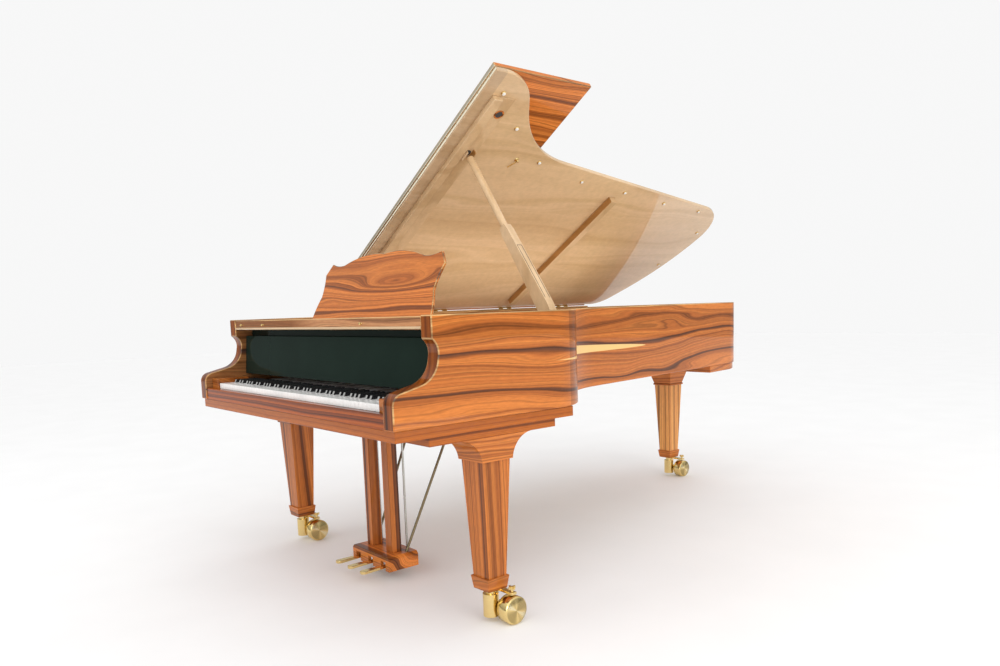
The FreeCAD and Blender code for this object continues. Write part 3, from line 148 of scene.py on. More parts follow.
class Shader:
    """A material under construction: adds nodes, sets their sockets and links them."""

    def __init__(self, name):
        self.material = bpy.data.materials.new(name)
        self.material.use_nodes = True
        self.tree = self.material.node_tree
        self.surface = self.tree.nodes["Principled BSDF"]
        self.object_space = self.add("TexCoord").outputs["Object"]

    def add(self, kind, settings=None, **inputs):
        """A node of a kind, with its settings and its input sockets, each a value or an output to link."""
        node = self.tree.nodes.new("ShaderNode" + kind)
        for key, value in (settings or {}).items():
            setattr(node, key, value)
        for key, value in inputs.items():
            self.feed(node.inputs[key.replace("_", " ")], value)
        return node

    def feed(self, socket, value):
        if isinstance(value, bpy.types.NodeSocket):
            self.tree.links.new(value, socket)
        else:
            socket.default_value = value

    def set(self, **inputs):
        """Set or link sockets of the surface itself."""
        for key, value in inputs.items():
            self.feed(self.surface.inputs[key.replace("_", " ")], value)
        return self

    def stretched(self, scale, turn=(0.0, 0.0, 0.0), place=(0.0, 0.0, 0.0)):
        """Object coordinates stretched along a grain."""
        node = self.add("Mapping", Vector=self.object_space, Location=place, Rotation=turn, Scale=scale)
        return node.outputs["Vector"]

    def noise(self, where, scale, detail_level=3.0, rough=0.5, twist=0.0):
        node = self.add("TexNoise", Vector=where, Scale=scale, Detail=detail_level, Roughness=rough,
                        Distortion=twist)
        return node.outputs["Fac"]

    def math(self, operation, *values):
        node = self.add("Math", {"operation": operation})
        for socket, value in zip(node.inputs, values):
            self.feed(socket, value)
        return node.outputs["Value"]

    def clamp(self, value, low, high):
        return self.math("MINIMUM", self.math("MAXIMUM", value, low), high)

    def ramp(self, fac, stops):
        """A colour ramp from (position, colour or grey) stops."""
        node = self.add("ValToRGB", Fac=fac)
        points = node.color_ramp.elements
        while len(points) < len(stops):
            points.new(0.5)
        for point, (position, tone) in zip(points, stops):
            point.position = position
            tone = (tone, tone, tone) if isinstance(tone, float) else tuple(tone)
            point.color = (*tone, 1.0)
        return node.outputs["Color"]

    def mix(self, fac, a, b, blend="MIX"):
        node = self.add("Mix", {"data_type": "RGBA", "blend_type": blend})
        self.feed(node.inputs["Factor"], fac)
        for socket, value in ((node.inputs["A"], a), (node.inputs["B"], b)):
            self.feed_colour(node, socket.name, value)
        return next(out for out in node.outputs if out.type == "RGBA")

    def feed_colour(self, node, name, value):
        socket = next(s for s in node.inputs if s.name == name and s.type == "RGBA")
        if not isinstance(value, bpy.types.NodeSocket) and len(value) == 3:
            value = (*value, 1.0)
        self.feed(socket, value)

    def bump(self, height, strength, distance):
        node = self.add("Bump", Strength=strength, Distance=distance, Height=height)
        self.feed(self.surface.inputs["Normal"], node.outputs["Normal"])
        return self


def material(name, build):
    """Make a material once."""
    if name not in made:
        shader = Shader(name)
        build(shader)
        made[name] = shader.material
    return made[name]


# Stretch of a pattern for each way the grain runs, and the direction across it
STRETCH = {"level": (1.0, 1.0, 7.0), "upright": (7.0, 7.0, 1.0), "lengthwise": (7.0, 1.0, 7.0),
           "crosswise": (1.0, 7.0, 7.0), "ruled": (1.0, 1.0, 7.0)}
ACROSS = {"level": (0.0, 0.0, 1.0), "upright": (0.8, 0.6, 0.0), "lengthwise": (0.85, 0.0, 0.52),
          "crosswise": (0.0, 0.6, 0.8), "ruled": (0.0, 0.0, 1.0)}
# Growth lines per metre of the rosewood, and how far they bend
GROWTH = {"level": (28.0, 5.0), "upright": (46.0, 1.2), "lengthwise": (36.0, 4.0),
          "crosswise": (30.0, 4.5), "ruled": (60.0, 1.6)}


def growth(s, grain, place, lines, bend):
    """Position across the growth lines of a veneer, as lines per metre bent by a slow noise."""
    where = s.stretched(STRETCH[grain], place=place)
    level = s.add("VectorMath", {"operation": "DOT_PRODUCT"})
    s.feed(level.inputs[0], s.stretched((1.0, 1.0, 1.0), place=place))
    s.feed(level.inputs[1], ACROSS[grain])
    slow = s.math("MULTIPLY", s.noise(where, 0.9, 2.0, 0.45, 0.3), bend)
    return s.math("MULTIPLY_ADD", level.outputs["Value"], lines, slow)


def bands(s, position, scale, levels):
    """Uneven bands along a position."""
    node = s.add("TexNoise", {"noise_dimensions": "1D"}, W=position, Scale=scale, Detail=levels,
                 Roughness=0.55)
    return node.outputs["Fac"]


def knot(s, middle, wide, tall, rise):
    """How far the growth lines are pushed aside around a knot, which they then enclose like an eye."""
    axes = s.add("SeparateXYZ", Vector=s.object_space).outputs
    across = s.math("DIVIDE", s.math("SUBTRACT", axes["X"], middle[0]), wide)
    above = s.math("DIVIDE", s.math("SUBTRACT", axes["Z"], middle[1]), tall)
    spread = s.math("ADD", s.math("MULTIPLY", across, across), s.math("MULTIPLY", above, above))
    return s.math("MULTIPLY", s.math("EXPONENT", s.math("MULTIPLY", spread, -1.0)), rise)


def faded(s, tone, axis, start, end, tint):
    """A tone that changes to a tint of itself between two places along an axis, for painted highlights and
    reflections.
    """
    place = s.add("SeparateXYZ", Vector=s.object_space).outputs[axis]
    share = s.math("DIVIDE", s.math("SUBTRACT", place, start), end - start)
    return s.mix(s.clamp(share, 0.0, 1.0), tone, s.mix(1.0, tone, tint, "MULTIPLY"))


def rosewood(grain, place=(0.0, 0.0, 0.0), shade=1.0, sapwood=False, eye=None, fade=None):
    """Lacquered rosewood along a grain, shaded evenly or by channel, with sapwood, an eye or a fade of painted
    light.
    """
    tones = finish()
    tint = shade if isinstance(shade, tuple) else (shade, shade, shade)
    light, mid, dark = (tuple(c * k for c, k in zip(tone, tint))
                        for tone in (tones.rosewood_light, tones.rosewood_mid, tones.rosewood_dark))

    def build(s):
        position = growth(s, grain, place, *GROWTH[grain])
        if eye:
            position = s.math("ADD", position, knot(s, *eye))
        dusk = scaled(mid, 0.6)
        veins = s.ramp(bands(s, position, 1.0, 3.0),
                       [(0.28, dark), (0.37, dusk), (0.45, mid), (0.57, light), (0.75, mid)])
        lines = s.ramp(bands(s, position, 5.0, 2.0), [(0.34, 0.6), (0.49, 1.0)])
        cloud = s.ramp(bands(s, position, 0.45, 2.0), [(0.36, 0.8), (0.56, 1.0)])
        fine = s.stretched(scaled(STRETCH[grain], 22.0), place=place)
        fibre = s.noise(fine, 1.3, 3.0, 0.6)
        toned = s.mix(1.0, s.mix(1.0, veins, cloud, "MULTIPLY"), lines, "MULTIPLY")
        grained = s.mix(1.0, toned, s.ramp(fibre, [(0.3, 0.82), (0.65, 1.0)]), "MULTIPLY")
        if sapwood:
            grained = s.mix(sapwood_share(s), grained, tones.sapwood)
        if fade:
            grained = faded(s, grained, *fade)
        s.set(Base_Color=grained, Roughness=0.3, Specular_IOR_Level=0.05, Coat_Weight=0.45,
              Coat_Roughness=0.02)
        s.bump(fibre, 0.04, 0.0003)

    traits = (*place, *tint, sapwood, bool(eye), bool(fade))
    return material("_".join(["rosewood", grain, *(f"{trait:g}" for trait in traits)]), build)


# Sapwood in the veneer past this X: a wedge along the bent side that narrows and falls towards the tail
TREBLE_SIDE = 0.1
WEDGE_START = 0.96
WEDGE_LENGTH = 0.64
WEDGE_HALF = 0.0185
WEDGE_HEIGHT = 0.827
WEDGE_FALL = 0.014
# A streak before the corner that widens towards it
STREAK_START = 0.615
STREAK_END = 0.80
STREAK_HEIGHT = 0.823
STREAK_SPREAD = 0.035
# How sharply the two end, per metre
WEDGE_SHARPNESS = 700.0
STREAK_SHARPNESS = 900.0


def sapwood_share(s):
    """Near one in a wedge along the bent side and in a streak before its corner, zero outside them."""
    axes = s.add("SeparateXYZ", Vector=s.object_space).outputs
    along = s.math("DIVIDE", s.math("SUBTRACT", axes["Y"], WEDGE_START), WEDGE_LENGTH)
    left = s.math("MAXIMUM", s.math("SUBTRACT", 1.0, along), 0.0)
    reach = s.math("MULTIPLY", s.math("SQRT", left), WEDGE_HALF)
    middle = s.math("SUBTRACT", WEDGE_HEIGHT, s.math("MULTIPLY", along, WEDGE_FALL))
    off = s.math("ABSOLUTE", s.math("SUBTRACT", axes["Z"], middle))
    inside = s.math("MULTIPLY", s.math("SUBTRACT", reach, off), WEDGE_SHARPNESS)
    started = s.math("GREATER_THAN", axes["Y"], WEDGE_START)
    treble = s.math("GREATER_THAN", axes["X"], TREBLE_SIDE)
    wedge = s.math("MULTIPLY", s.math("MULTIPLY", s.clamp(inside, 0.0, 0.9), started), treble)
    spread = s.math("MULTIPLY", s.math("SUBTRACT", axes["Y"], STREAK_START), STREAK_SPREAD)
    aside = s.math("ABSOLUTE", s.math("SUBTRACT", axes["Z"], STREAK_HEIGHT))
    thin = s.math("MULTIPLY", s.math("SUBTRACT", spread, aside), STREAK_SHARPNESS)
    ahead = s.math("LESS_THAN", axes["Y"], STREAK_END)
    streak = s.math("MULTIPLY", s.clamp(thin, 0.0, 0.8), ahead)
    return s.math("MAXIMUM", wedge, s.math("MULTIPLY", streak, treble))


# Painted shadow of the lid's front bar: the tint of the lining in front of it
BAR_SHADOW_TINT = (0.8, 0.81, 0.86)


def maple(grain, tone=1.0, gloss=0.8, shadow_edge=0.0):
    """Pale veneer with a faint curl under a clear lacquer, with a painted shadow in front of a given Y if one is
    given.
    """
    tones = finish()
    light, dark = scaled(tones.maple_light, tone), scaled(tones.maple_dark, tone)

    def build(s):
        position = growth(s, grain, (0.0, 0.0, 0.0), 7.0, 3.0)
        band = s.ramp(bands(s, position, 1.0, 4.0), [(0.3, dark), (0.65, light)])
        curl = s.ramp(s.noise(s.object_space, 34.0, 3.0, 0.6), [(0.3, 0.9), (0.7, 1.0)])
        fibre = s.noise(s.stretched(scaled(STRETCH[grain], 24.0)), 1.5, 3.0, 0.6)
        shade = s.mix(1.0, curl, s.ramp(fibre, [(0.25, 0.9), (0.7, 1.0)]), "MULTIPLY")
        # Painted shadow of the front bar: the lining is darker in front of the given Y
        if shadow_edge:
            y = s.add("SeparateXYZ", Vector=s.object_space).outputs["Y"]
            tinted = s.mix(1.0, shade, BAR_SHADOW_TINT, "MULTIPLY")
            shade = s.mix(s.math("LESS_THAN", y, shadow_edge), shade, tinted)
        s.set(Base_Color=s.mix(1.0, band, shade, "MULTIPLY"), Roughness=0.3, Specular_IOR_Level=0.2,
              Coat_Weight=gloss, Coat_Roughness=0.02)
        s.bump(fibre, 0.03, 0.0003)

    return material(f"maple_{grain}_{tone:g}_{gloss:g}_{shadow_edge:g}", build)


def bare_wood(name, light, dark, grain, scale=1.0):
    """Plain timber with growth lines along its grain."""

    def build(s):
        where = s.stretched(scaled(STRETCH[grain], scale * 1.5))
        lines = s.noise(where, 3.0, 5.0, 0.6, 0.1)
        s.set(Base_Color=s.ramp(lines, [(0.3, dark), (0.65, light)]), Roughness=0.45)
        s.bump(lines, 0.08, 0.0004)

    return material(name, build)


def metal(name, tone, roughness, grain_scale=180.0):
    """Metal with a fine worked surface and slight unevenness in its gloss."""

    def build(s):
        wear_and_sheen = s.noise(s.object_space, 14.0, 4.0, 0.6)
        low, high = roughness * 0.75, roughness * 1.3
        tint = s.ramp(wear_and_sheen, [(0.3, scaled(tone, 0.9)), (0.7, tone)])
        s.set(Base_Color=tint, Metallic=1.0, Roughness=s.ramp(wear_and_sheen, [(0.3, low), (0.7, high)]))
        s.bump(s.noise(s.object_space, grain_scale, 2.0), 0.02, 0.0002)

    return material(name, build)


# Painted highlight on turned brass: lean in radians, sharpness and weight of each bright ray
HIGHLIGHT_RAYS = ((-0.6, 10.0, 0.8), (1.65, 24.0, 0.5))


def turned_brass(name, centre):
    """Brass faced on a lathe about an axis along X, with fine rings and the painted highlight of a polished disc,
    in rays.
    """

    def build(s):
        tone = finish().brass
        where = s.stretched((1.0, 1.0, 1.0), place=scaled(centre, -1.0))
        rings = s.add("TexWave", {"wave_type": "RINGS", "rings_direction": "X", "wave_profile": "TRI"},
                      Vector=where, Scale=90.0, Distortion=0.3, Detail=2.0).outputs["Fac"]
        axes = s.add("SeparateXYZ", Vector=where).outputs
        angle = s.math("ARCTAN2", axes["Z"], axes["Y"])
        highlight_share = 0.0
        for lean, power, weight in HIGHLIGHT_RAYS:
            turn = s.math("ABSOLUTE", s.math("COSINE", s.math("SUBTRACT", angle, lean)))
            highlight_share = s.math("ADD", highlight_share, s.math("MULTIPLY", s.math("POWER", turn, power), weight))
        base, bright = scaled(tone, 0.58), (1.0, 0.93, 0.66)
        face = s.ramp(highlight_share, [(0.0, base), (0.45, tone), (1.0, bright)])
        worked = s.mix(1.0, face, s.ramp(rings, [(0.0, 0.9), (1.0, 1.0)]), "MULTIPLY")
        s.set(Base_Color=worked, Metallic=1.0, Roughness=0.24)

    return material(name, build)


def lacquer(name, tone, roughness, gloss=0.5):
    """Polished lacquer with faint haze."""

    def build(s):
        haze = s.noise(s.object_space, 6.0, 3.0, 0.5)
        s.set(Base_Color=s.ramp(haze, [(0.3, scaled(tone, 0.85)), (0.7, tone)]),
              Roughness=s.ramp(haze, [(0.3, roughness * 0.8), (0.7, roughness * 1.25)]),
              Specular_IOR_Level=gloss)
        s.bump(s.noise(s.object_space, 60.0, 2.0), 0.01, 0.0002)

    return material(name, build)


def felt(name, tone):
    """Pressed wool."""

    def build(s):
        fuzz = s.noise(s.object_space, 420.0, 4.0, 0.7)
        s.set(Base_Color=s.ramp(fuzz, [(0.3, scaled(tone, 0.75)), (0.7, tone)]), Roughness=0.95,
              Sheen_Weight=0.3)
        s.bump(fuzz, 0.4, 0.0005)

    return material(name, build)


def brass():
    return metal("brass", finish().brass, 0.16)


def black_lacquer():
    return lacquer("black_lacquer", finish().lacquer, 0.09, 0.06)


def beech():
    return bare_wood("beech", (0.56, 0.37, 0.20), (0.42, 0.25, 0.12), "lengthwise")


# Painted highlight on the case's edges: heights above the key slip's foot between which it fades in, and its tint
EDGE_HIGHLIGHT_START, EDGE_HIGHLIGHT_END = 0.015, 0.03
EDGE_HIGHLIGHT_TINT = (1.08, 2.05, 4.2)


def painted_edge_highlight():
    """Rosewood with a painted highlight for edges, left out of those low on the case."""
    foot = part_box("key_slip")[0].z
    return rosewood("level", fade=("Z", foot + EDGE_HIGHLIGHT_START, foot + EDGE_HIGHLIGHT_END, EDGE_HIGHLIGHT_TINT))


# Edges sharper than this, in degrees, are rounded or stay sharp
SMOOTH_ANGLE = 35.0
# Points of a CAD node closer than this are joined, and faces within this angle of each other are one
NODE_WELD = 0.00002
FLAT_ANGLE = 0.3
PROFILE_WELD = 0.00001


def add_piece(name, body, shape, surfaces, edge=0.0, segments=3, edge_surface=-1):
    """Turn a bmesh into a piece that rides on a body."""
    mesh = bpy.data.meshes.new(name)
    shape.to_mesh(mesh)
    shape.free()
    obj = bpy.data.objects.new(name, mesh)
    bpy.context.scene.collection.objects.link(obj)
    for surface in surfaces:
        mesh.materials.append(surface)
    round_off(obj, edge, segments, edge_surface)
    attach(obj, body)
    return obj


def round_off(obj, edge, segments, edge_surface):
    """Smooth shading, and rounded edges, on a surface of their own if its number is not negative."""
    mesh = obj.data
    mesh.shade_smooth()
    mesh.set_sharp_from_angle(angle=math.radians(SMOOTH_ANGLE))
    if edge:
        bevel = obj.modifiers.new("Rounded edges", "BEVEL")
        bevel.width = edge
        bevel.segments = segments
        bevel.limit_method = "ANGLE"
        bevel.angle_limit = math.radians(SMOOTH_ANGLE)
        bevel.harden_normals = True
        bevel.material = edge_surface


def dress(node, surface, edge, *others, segments=3, edge_surface=None):
    """A copy of a CAD node with rounded edges. Each other surface has a test for its faces."""
    shape = bmesh.new()
    shape.from_mesh(frame["nodes"][node].data)
    bmesh.ops.remove_doubles(shape, verts=shape.verts, dist=NODE_WELD)
    flat = math.radians(FLAT_ANGLE)
    bmesh.ops.dissolve_limit(shape, angle_limit=flat, verts=shape.verts, edges=shape.edges)
    for index, (_, takes) in enumerate(others, start=1):
        for face in shape.faces:
            if takes(face):
                face.material_index = index
    surfaces = [surface] + [other for other, _ in others]
    edge_number = -1
    if edge_surface:
        edge_number = len(surfaces)
        surfaces.append(edge_surface)
    obj = add_piece(
        node + "_dressed", BODY_OF[node], shape, surfaces, edge, segments, edge_number
    )
    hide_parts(node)


def coat(node, surface):
    """Give a CAD node that stays as it is its own surface."""
    slots = frame["nodes"][node].data.materials
    slots.clear()
    slots.append(surface)


# Distance of the closed lid's underside below the hinge axis
LID_SEAT = 0.005
LID_UNDERSIDE = LID_AXIS.z - LID_SEAT


def lid_matrix():
    """From the closed lid's place to the raised lid's."""
    closing = LID_JOINT["range_deg"][0]
    turn = Matrix.Rotation(math.radians(-closing), 4, Vector(LID_JOINT["axis"]))
    return Matrix.Translation(LID_AXIS) @ turn @ Matrix.Translation(-LID_AXIS)


def under_lid(reach, y):
    """Matrix of a spot on the lid's underside: its Z points down out of the raised lid."""
    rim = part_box("outer_rim")[0]
    place = Matrix.Translation((rim.x + reach, y, LID_UNDERSIDE))
    return lid_matrix() @ place @ Matrix.Rotation(math.pi, 4, "X")


# Fittings under the lid, as distances from the spine and from the keyboard front
LID_BUTTONS = [(1.391, 0.683), (1.248, 0.847), (1.094, 1.080), (1.014, 1.394), (0.973, 1.715),
               (0.924, 2.054), (0.888, 2.380), (0.714, 2.572), (0.409, 2.560)]
LID_SOCKET = (1.300, 0.724)
LID_REST = (1.100, 0.711)
LID_CATCH = (1.094, 0.960)
# Distances from the keyboard front of the edge of the painted shadow on the lid's lining, and of the gap between
# the lid's bars
BAR_SHADOW_EDGE = 0.645
FRONT_BAR_END = 0.6875
REAR_BAR_START = 0.7
PLANK_WIDTH = 0.062
PLANK_THICKNESS = 0.004
# Brass further than this from the hinge axis belongs to the flap's hinge
SPINE_LEAF = 0.03
# Y and Z of the screws in the flap's hinge with the lid shut, their number and their profile
FLAP_SCREWS = (0.596, 1.0065)
FLAP_SCREW_COUNT = 20
FLAP_SCREW_PROFILE = [(0.0, 0.0), (0.0028, 0.0), (0.0024, 0.0007), (0.0012, 0.0011), (0.0, 0.0012)]
# Ends along Y of the beads between the hinges of the spine
SPINE_BEADS = [(0.600, 0.757), (0.853, 1.197), (1.293, 1.637), (1.733, 2.077), (2.173, 2.310)]
SPINE_BEAD_RADIUS = 0.005
SPINE_BEAD_TAPER = 0.003
# Catch: the profile of its post, and the size, middle and lean in degrees of its arm
CATCH_PROFILE = [(0.0, 0.0), (0.010, 0.0), (0.009, 0.0025), (0.006, 0.004), (0.006, 0.010),
                 (0.003, 0.013), (0.0, 0.013)]
CATCH_ARM = (0.044, 0.004, 0.003)
CATCH_ARM_MIDDLE = (-0.024, 0.0, 0.0085)
CATCH_LEAN = -33.0
FELT_THICKNESS = 0.0006


def turned(shape, profile, matrix, steps=24):
    """Spin a profile of (radius, height) points about Z and put it in place."""
    verts = [shape.verts.new((radius, 0.0, height)) for radius, height in profile]
    edges = [shape.edges.new(pair) for pair in zip(verts, verts[1:])]
    bmesh.ops.spin(shape, geom=verts + edges, cent=(0, 0, 0), axis=(0, 0, 1), dvec=(0, 0, 0),
                   angle=math.tau, steps=steps, use_merge=True, use_duplicate=False)
    bmesh.ops.remove_doubles(shape, verts=[v for v in shape.verts if not v.tag], dist=PROFILE_WELD)
    fresh = [v for v in shape.verts if not v.tag]
    bmesh.ops.transform(shape, matrix=matrix, verts=fresh)
    for vert in fresh:
        vert.tag = True


def block(shape, size, matrix):
    """A box centred on a place."""
    scale = Matrix.Diagonal((*size, 1.0))
    made_by = bmesh.ops.create_cube(shape, size=1.0, matrix=matrix @ scale)
    for vert in made_by["verts"]:
        vert.tag = True


def closed_up(shape):
    """A shape with all its faces turned outwards."""
    bmesh.ops.recalc_face_normals(shape, faces=shape.faces)
    return shape


class PianoOperator(bpy.types.Operator):
    """Common ground of the piano's operators."""

    bl_options = {"REGISTER", "UNDO"}


def middle_of(face):
    """The middle of a face."""
    return face.calc_center_median()


def is_wall(face):
    """Whether a face stands more upright than level."""
    return abs(face.normal.z) < 0.5


# Distances from the keyboard front where the case's surfaces change, and the length of the tail's curve
ARM_FRONT_END = 0.2
ARM_END = 0.62
CORNER_START = 0.70
CORNER_END = 0.82
TAIL_CURVE = 0.35
# Size of the dark strip that stands in for the shade in the gap, and its middle before and below the edge of the
# shelf's rails
STRIP_DEPTH = 0.011
STRIP_HEIGHT = 0.036
STRIP_AHEAD = 0.006
STRIP_DROP = 0.028


class PIANO_OT_case(PianoOperator):
    """Veneer the rim, the boards under the keyboard and the blocks beside the keys"""

    bl_idname = "piano.case"
    bl_label = "Case"

    def execute(self, context):
        sizes = detail()
        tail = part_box("outer_rim")[1].y

        def inside(face):
            middle = middle_of(face)
            outwards = Vector((middle.x, 0.0, 0.0))
            if middle.y > tail - TAIL_CURVE:
                outwards.y = 1.0
            return is_wall(face) and middle.y > ARM_END and face.normal.dot(outwards) < 0.0

        # Faces of the corner where the rim turns: their darker tint is painted shade
        def corner(face):
            return is_wall(face) and CORNER_START < middle_of(face).y < CORNER_END and face.normal.x > 0.3

        # Front faces of the arms: their dark tint is painted shade, their upright grain the veneer's own
        def arm_front(face):
            return middle_of(face).y < ARM_FRONT_END and abs(face.normal.x) < 0.5 and face.normal.y < -0.2

        # Inner sides of the arms: their dark, greyed tint is painted shade and reflection
        def arm_side(face):
            middle = middle_of(face)
            inwards = face.normal.x * middle.x < -0.5 * abs(middle.x)
            return is_wall(face) and middle.y < ARM_END and inwards

        # The rim's edges get a painted highlight
        dress("outer_rim", rosewood("level", sapwood=True), sizes.case_edge, (maple("level"), inside),
              (rosewood("level", shade=0.7, sapwood=True), corner),
              (rosewood("upright", shade=(0.45, 0.36, 0.2)), arm_front),
              (rosewood("level", shade=(0.62, 0.86, 1.5)), arm_side),
              edge_surface=painted_edge_highlight())
        keybed = rosewood("ruled", place=(0.3, 0.2, 0.37), shade=(0.76, 0.64, 0.34))
        dress("keybed", keybed, sizes.board_edge)
        key_slip = rosewood("ruled", place=(0.0, 0.0, 0.11), shade=(0.66, 0.44, 0.16))
        dress("key_slip", key_slip, sizes.board_edge)
        dress("key_blocks", rosewood("crosswise", place=(0.0, 0.4, 0.1), shade=0.7), sizes.board_edge)
        dress("shelf_rails", maple("lengthwise"), sizes.board_edge)
        dress("rim_hardware", brass(), 0.0)
        self.strip()
        return {"FINISHED"}

    def strip(self):
        """A dark strip in the gap between the fallboard and the music shelf, standing in for the shade there."""
        low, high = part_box("shelf_rails")
        shape = bmesh.new()
        place = Matrix.Translation((0.0, low.y - STRIP_AHEAD, high.z - STRIP_DROP))
        block(shape, (high.x - low.x, STRIP_DEPTH, STRIP_HEIGHT), place)
        add_piece("shelf_shade_strip", "case", closed_up(shape), [black_lacquer()],
                  detail().trim_edge)


class PIANO_OT_inside(PianoOperator):
    """Finish what lies inside the case"""

    bl_idname = "piano.inside"
    bl_label = "Inside"

    def execute(self, context):
        tones = finish()
        for node in ("inner_rim", "bracing_beams", "pin_block", "bridges"):
            coat(node, beech())
        spruce = bare_wood("spruce", tones.spruce, scaled(tones.spruce, 0.78), "lengthwise", 4.0)
        coat("soundboard", spruce)
        dress("iron_plate", metal("gilt_iron", tones.gilt, 0.36, 320.0), detail().metal_edge)
        coat("tuning_pins", metal("pin_steel", (0.42, 0.43, 0.46), 0.25))
        coat("steel_strings", metal("string_steel", (0.66, 0.66, 0.68), 0.22))
        coat("copper_strings", metal("string_copper", (0.72, 0.34, 0.16), 0.3))
        return {"FINISHED"}


class PIANO_OT_keyboard(PianoOperator):
    """Finish the keys, the fallboard and the action"""

    bl_idname = "piano.keyboard"
    bl_label = "Keyboard"

    def execute(self, context):
        tones, sizes = finish(), detail()
        white = lacquer("key_white", tones.ivory, 0.16)
        black = lacquer("key_black", tones.ebony, 0.28)
        # The sharps' pale grey fronts are a painted highlight
        wear_and_sheen = lacquer("key_black_front_highlight", (0.38, 0.38, 0.37), 0.2)
        for node in frame["nodes"]:
            if node.startswith("keys_") and node.endswith("sharp"):
                dress(node, black, sizes.sharp_edge, (wear_and_sheen, lambda face: face.normal.y < -0.3), segments=2)
            elif node.startswith("keys_"):
                dress(node, white, sizes.key_edge, segments=2)
        dress("fallboard", black_lacquer(), sizes.board_edge)
        coat("key_frame", beech())
        action = bare_wood("maple_action", (0.66, 0.48, 0.28), (0.52, 0.36, 0.19), "lengthwise")
        coat("action_stack", action)
        pads = felt("damper_felt", (0.72, 0.70, 0.64))
        dress("dampers", black_lacquer(), sizes.key_edge,
              (pads, lambda face: face.normal.z < -0.5), segments=2)
        return {"FINISHED"}


# Middle, width, height and rise of the eye in the desk's veneer, and the shelf's painted reflection, a paler tint
# towards its treble end
DESK_EYE = ((0.15, 1.098), 0.27, 0.030, 1.7)
SHELF_REFLECTION = ("X", -0.16, 0.04, (2.0, 2.5, 3.4))
# Places along X of the knobs on the shelf's lip, and their profile
KNOBS = (-0.617, -0.408, 0.345)
KNOB_PROFILE = [(0.0, 0.0), (0.0035, 0.0), (0.0028, 0.002), (0.0045, 0.004), (0.0042, 0.007),
                (0.0025, 0.0085), (0.0, 0.009)]
LIP_BEAD_RADIUS = 0.0045
LIP_BEAD_STEPS = 8


class PIANO_OT_music_rest(PianoOperator):
    """Veneer the music shelf and its desk"""

    bl_idname = "piano.music_rest"
    bl_label = "Music rest"

    def execute(self, context):
        sizes = detail()
        # The shelf's veneer turns paler towards its treble end: a painted reflection
        shelf = rosewood("crosswise", place=(0.7, 0.0, 0.0), shade=(0.62, 0.78, 1.3), fade=SHELF_REFLECTION)
        # The edges of shelf and desk get a painted highlight
        dress("music_shelf", shelf, sizes.board_edge, edge_surface=painted_edge_highlight())
        desk = rosewood("crosswise", place=(0.2, 0.55, 0.1), shade=1.2, eye=DESK_EYE)
        dress("music_desk", desk, sizes.board_edge, edge_surface=painted_edge_highlight())
        self.knobs()
        self.bead()
        return {"FINISHED"}

    def knobs(self):
        """Small turned knobs on the lip of the shelf."""
        low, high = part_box("music_shelf")
        shape = bmesh.new()
        for x in KNOBS:
            place = Matrix.Translation((x, low.y, (low.z + high.z) / 2))
            turned(shape, KNOB_PROFILE, place @ Matrix.Rotation(math.pi / 2, 4, "X"), steps=16)
        add_piece("shelf_knobs", "shelf", closed_up(shape), [brass()])

    def bead(self):
        """A half-round bead along the foot of the lip, its pale maple a painted highlight on the lip's lower edge.
        """
        low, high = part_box("music_shelf")
        shape = bmesh.new()
        ring = []
        for n in range(LIP_BEAD_STEPS + 1):
            angle = math.pi * n / LIP_BEAD_STEPS
            out, above = LIP_BEAD_RADIUS * math.sin(angle), LIP_BEAD_RADIUS * (1.0 + math.cos(angle))
            ring.append(shape.verts.new((low.x, low.y - out, low.z + above)))
        face = shape.faces.new(ring)
        pushed = bmesh.ops.extrude_face_region(shape, geom=[face])
        ends = [g for g in pushed["geom"] if isinstance(g, bmesh.types.BMVert)]
        bmesh.ops.translate(shape, verts=ends, vec=(high.x - low.x, 0.0, 0.0))
        add_piece("shelf_bead", "shelf", closed_up(shape), [maple("crosswise")])


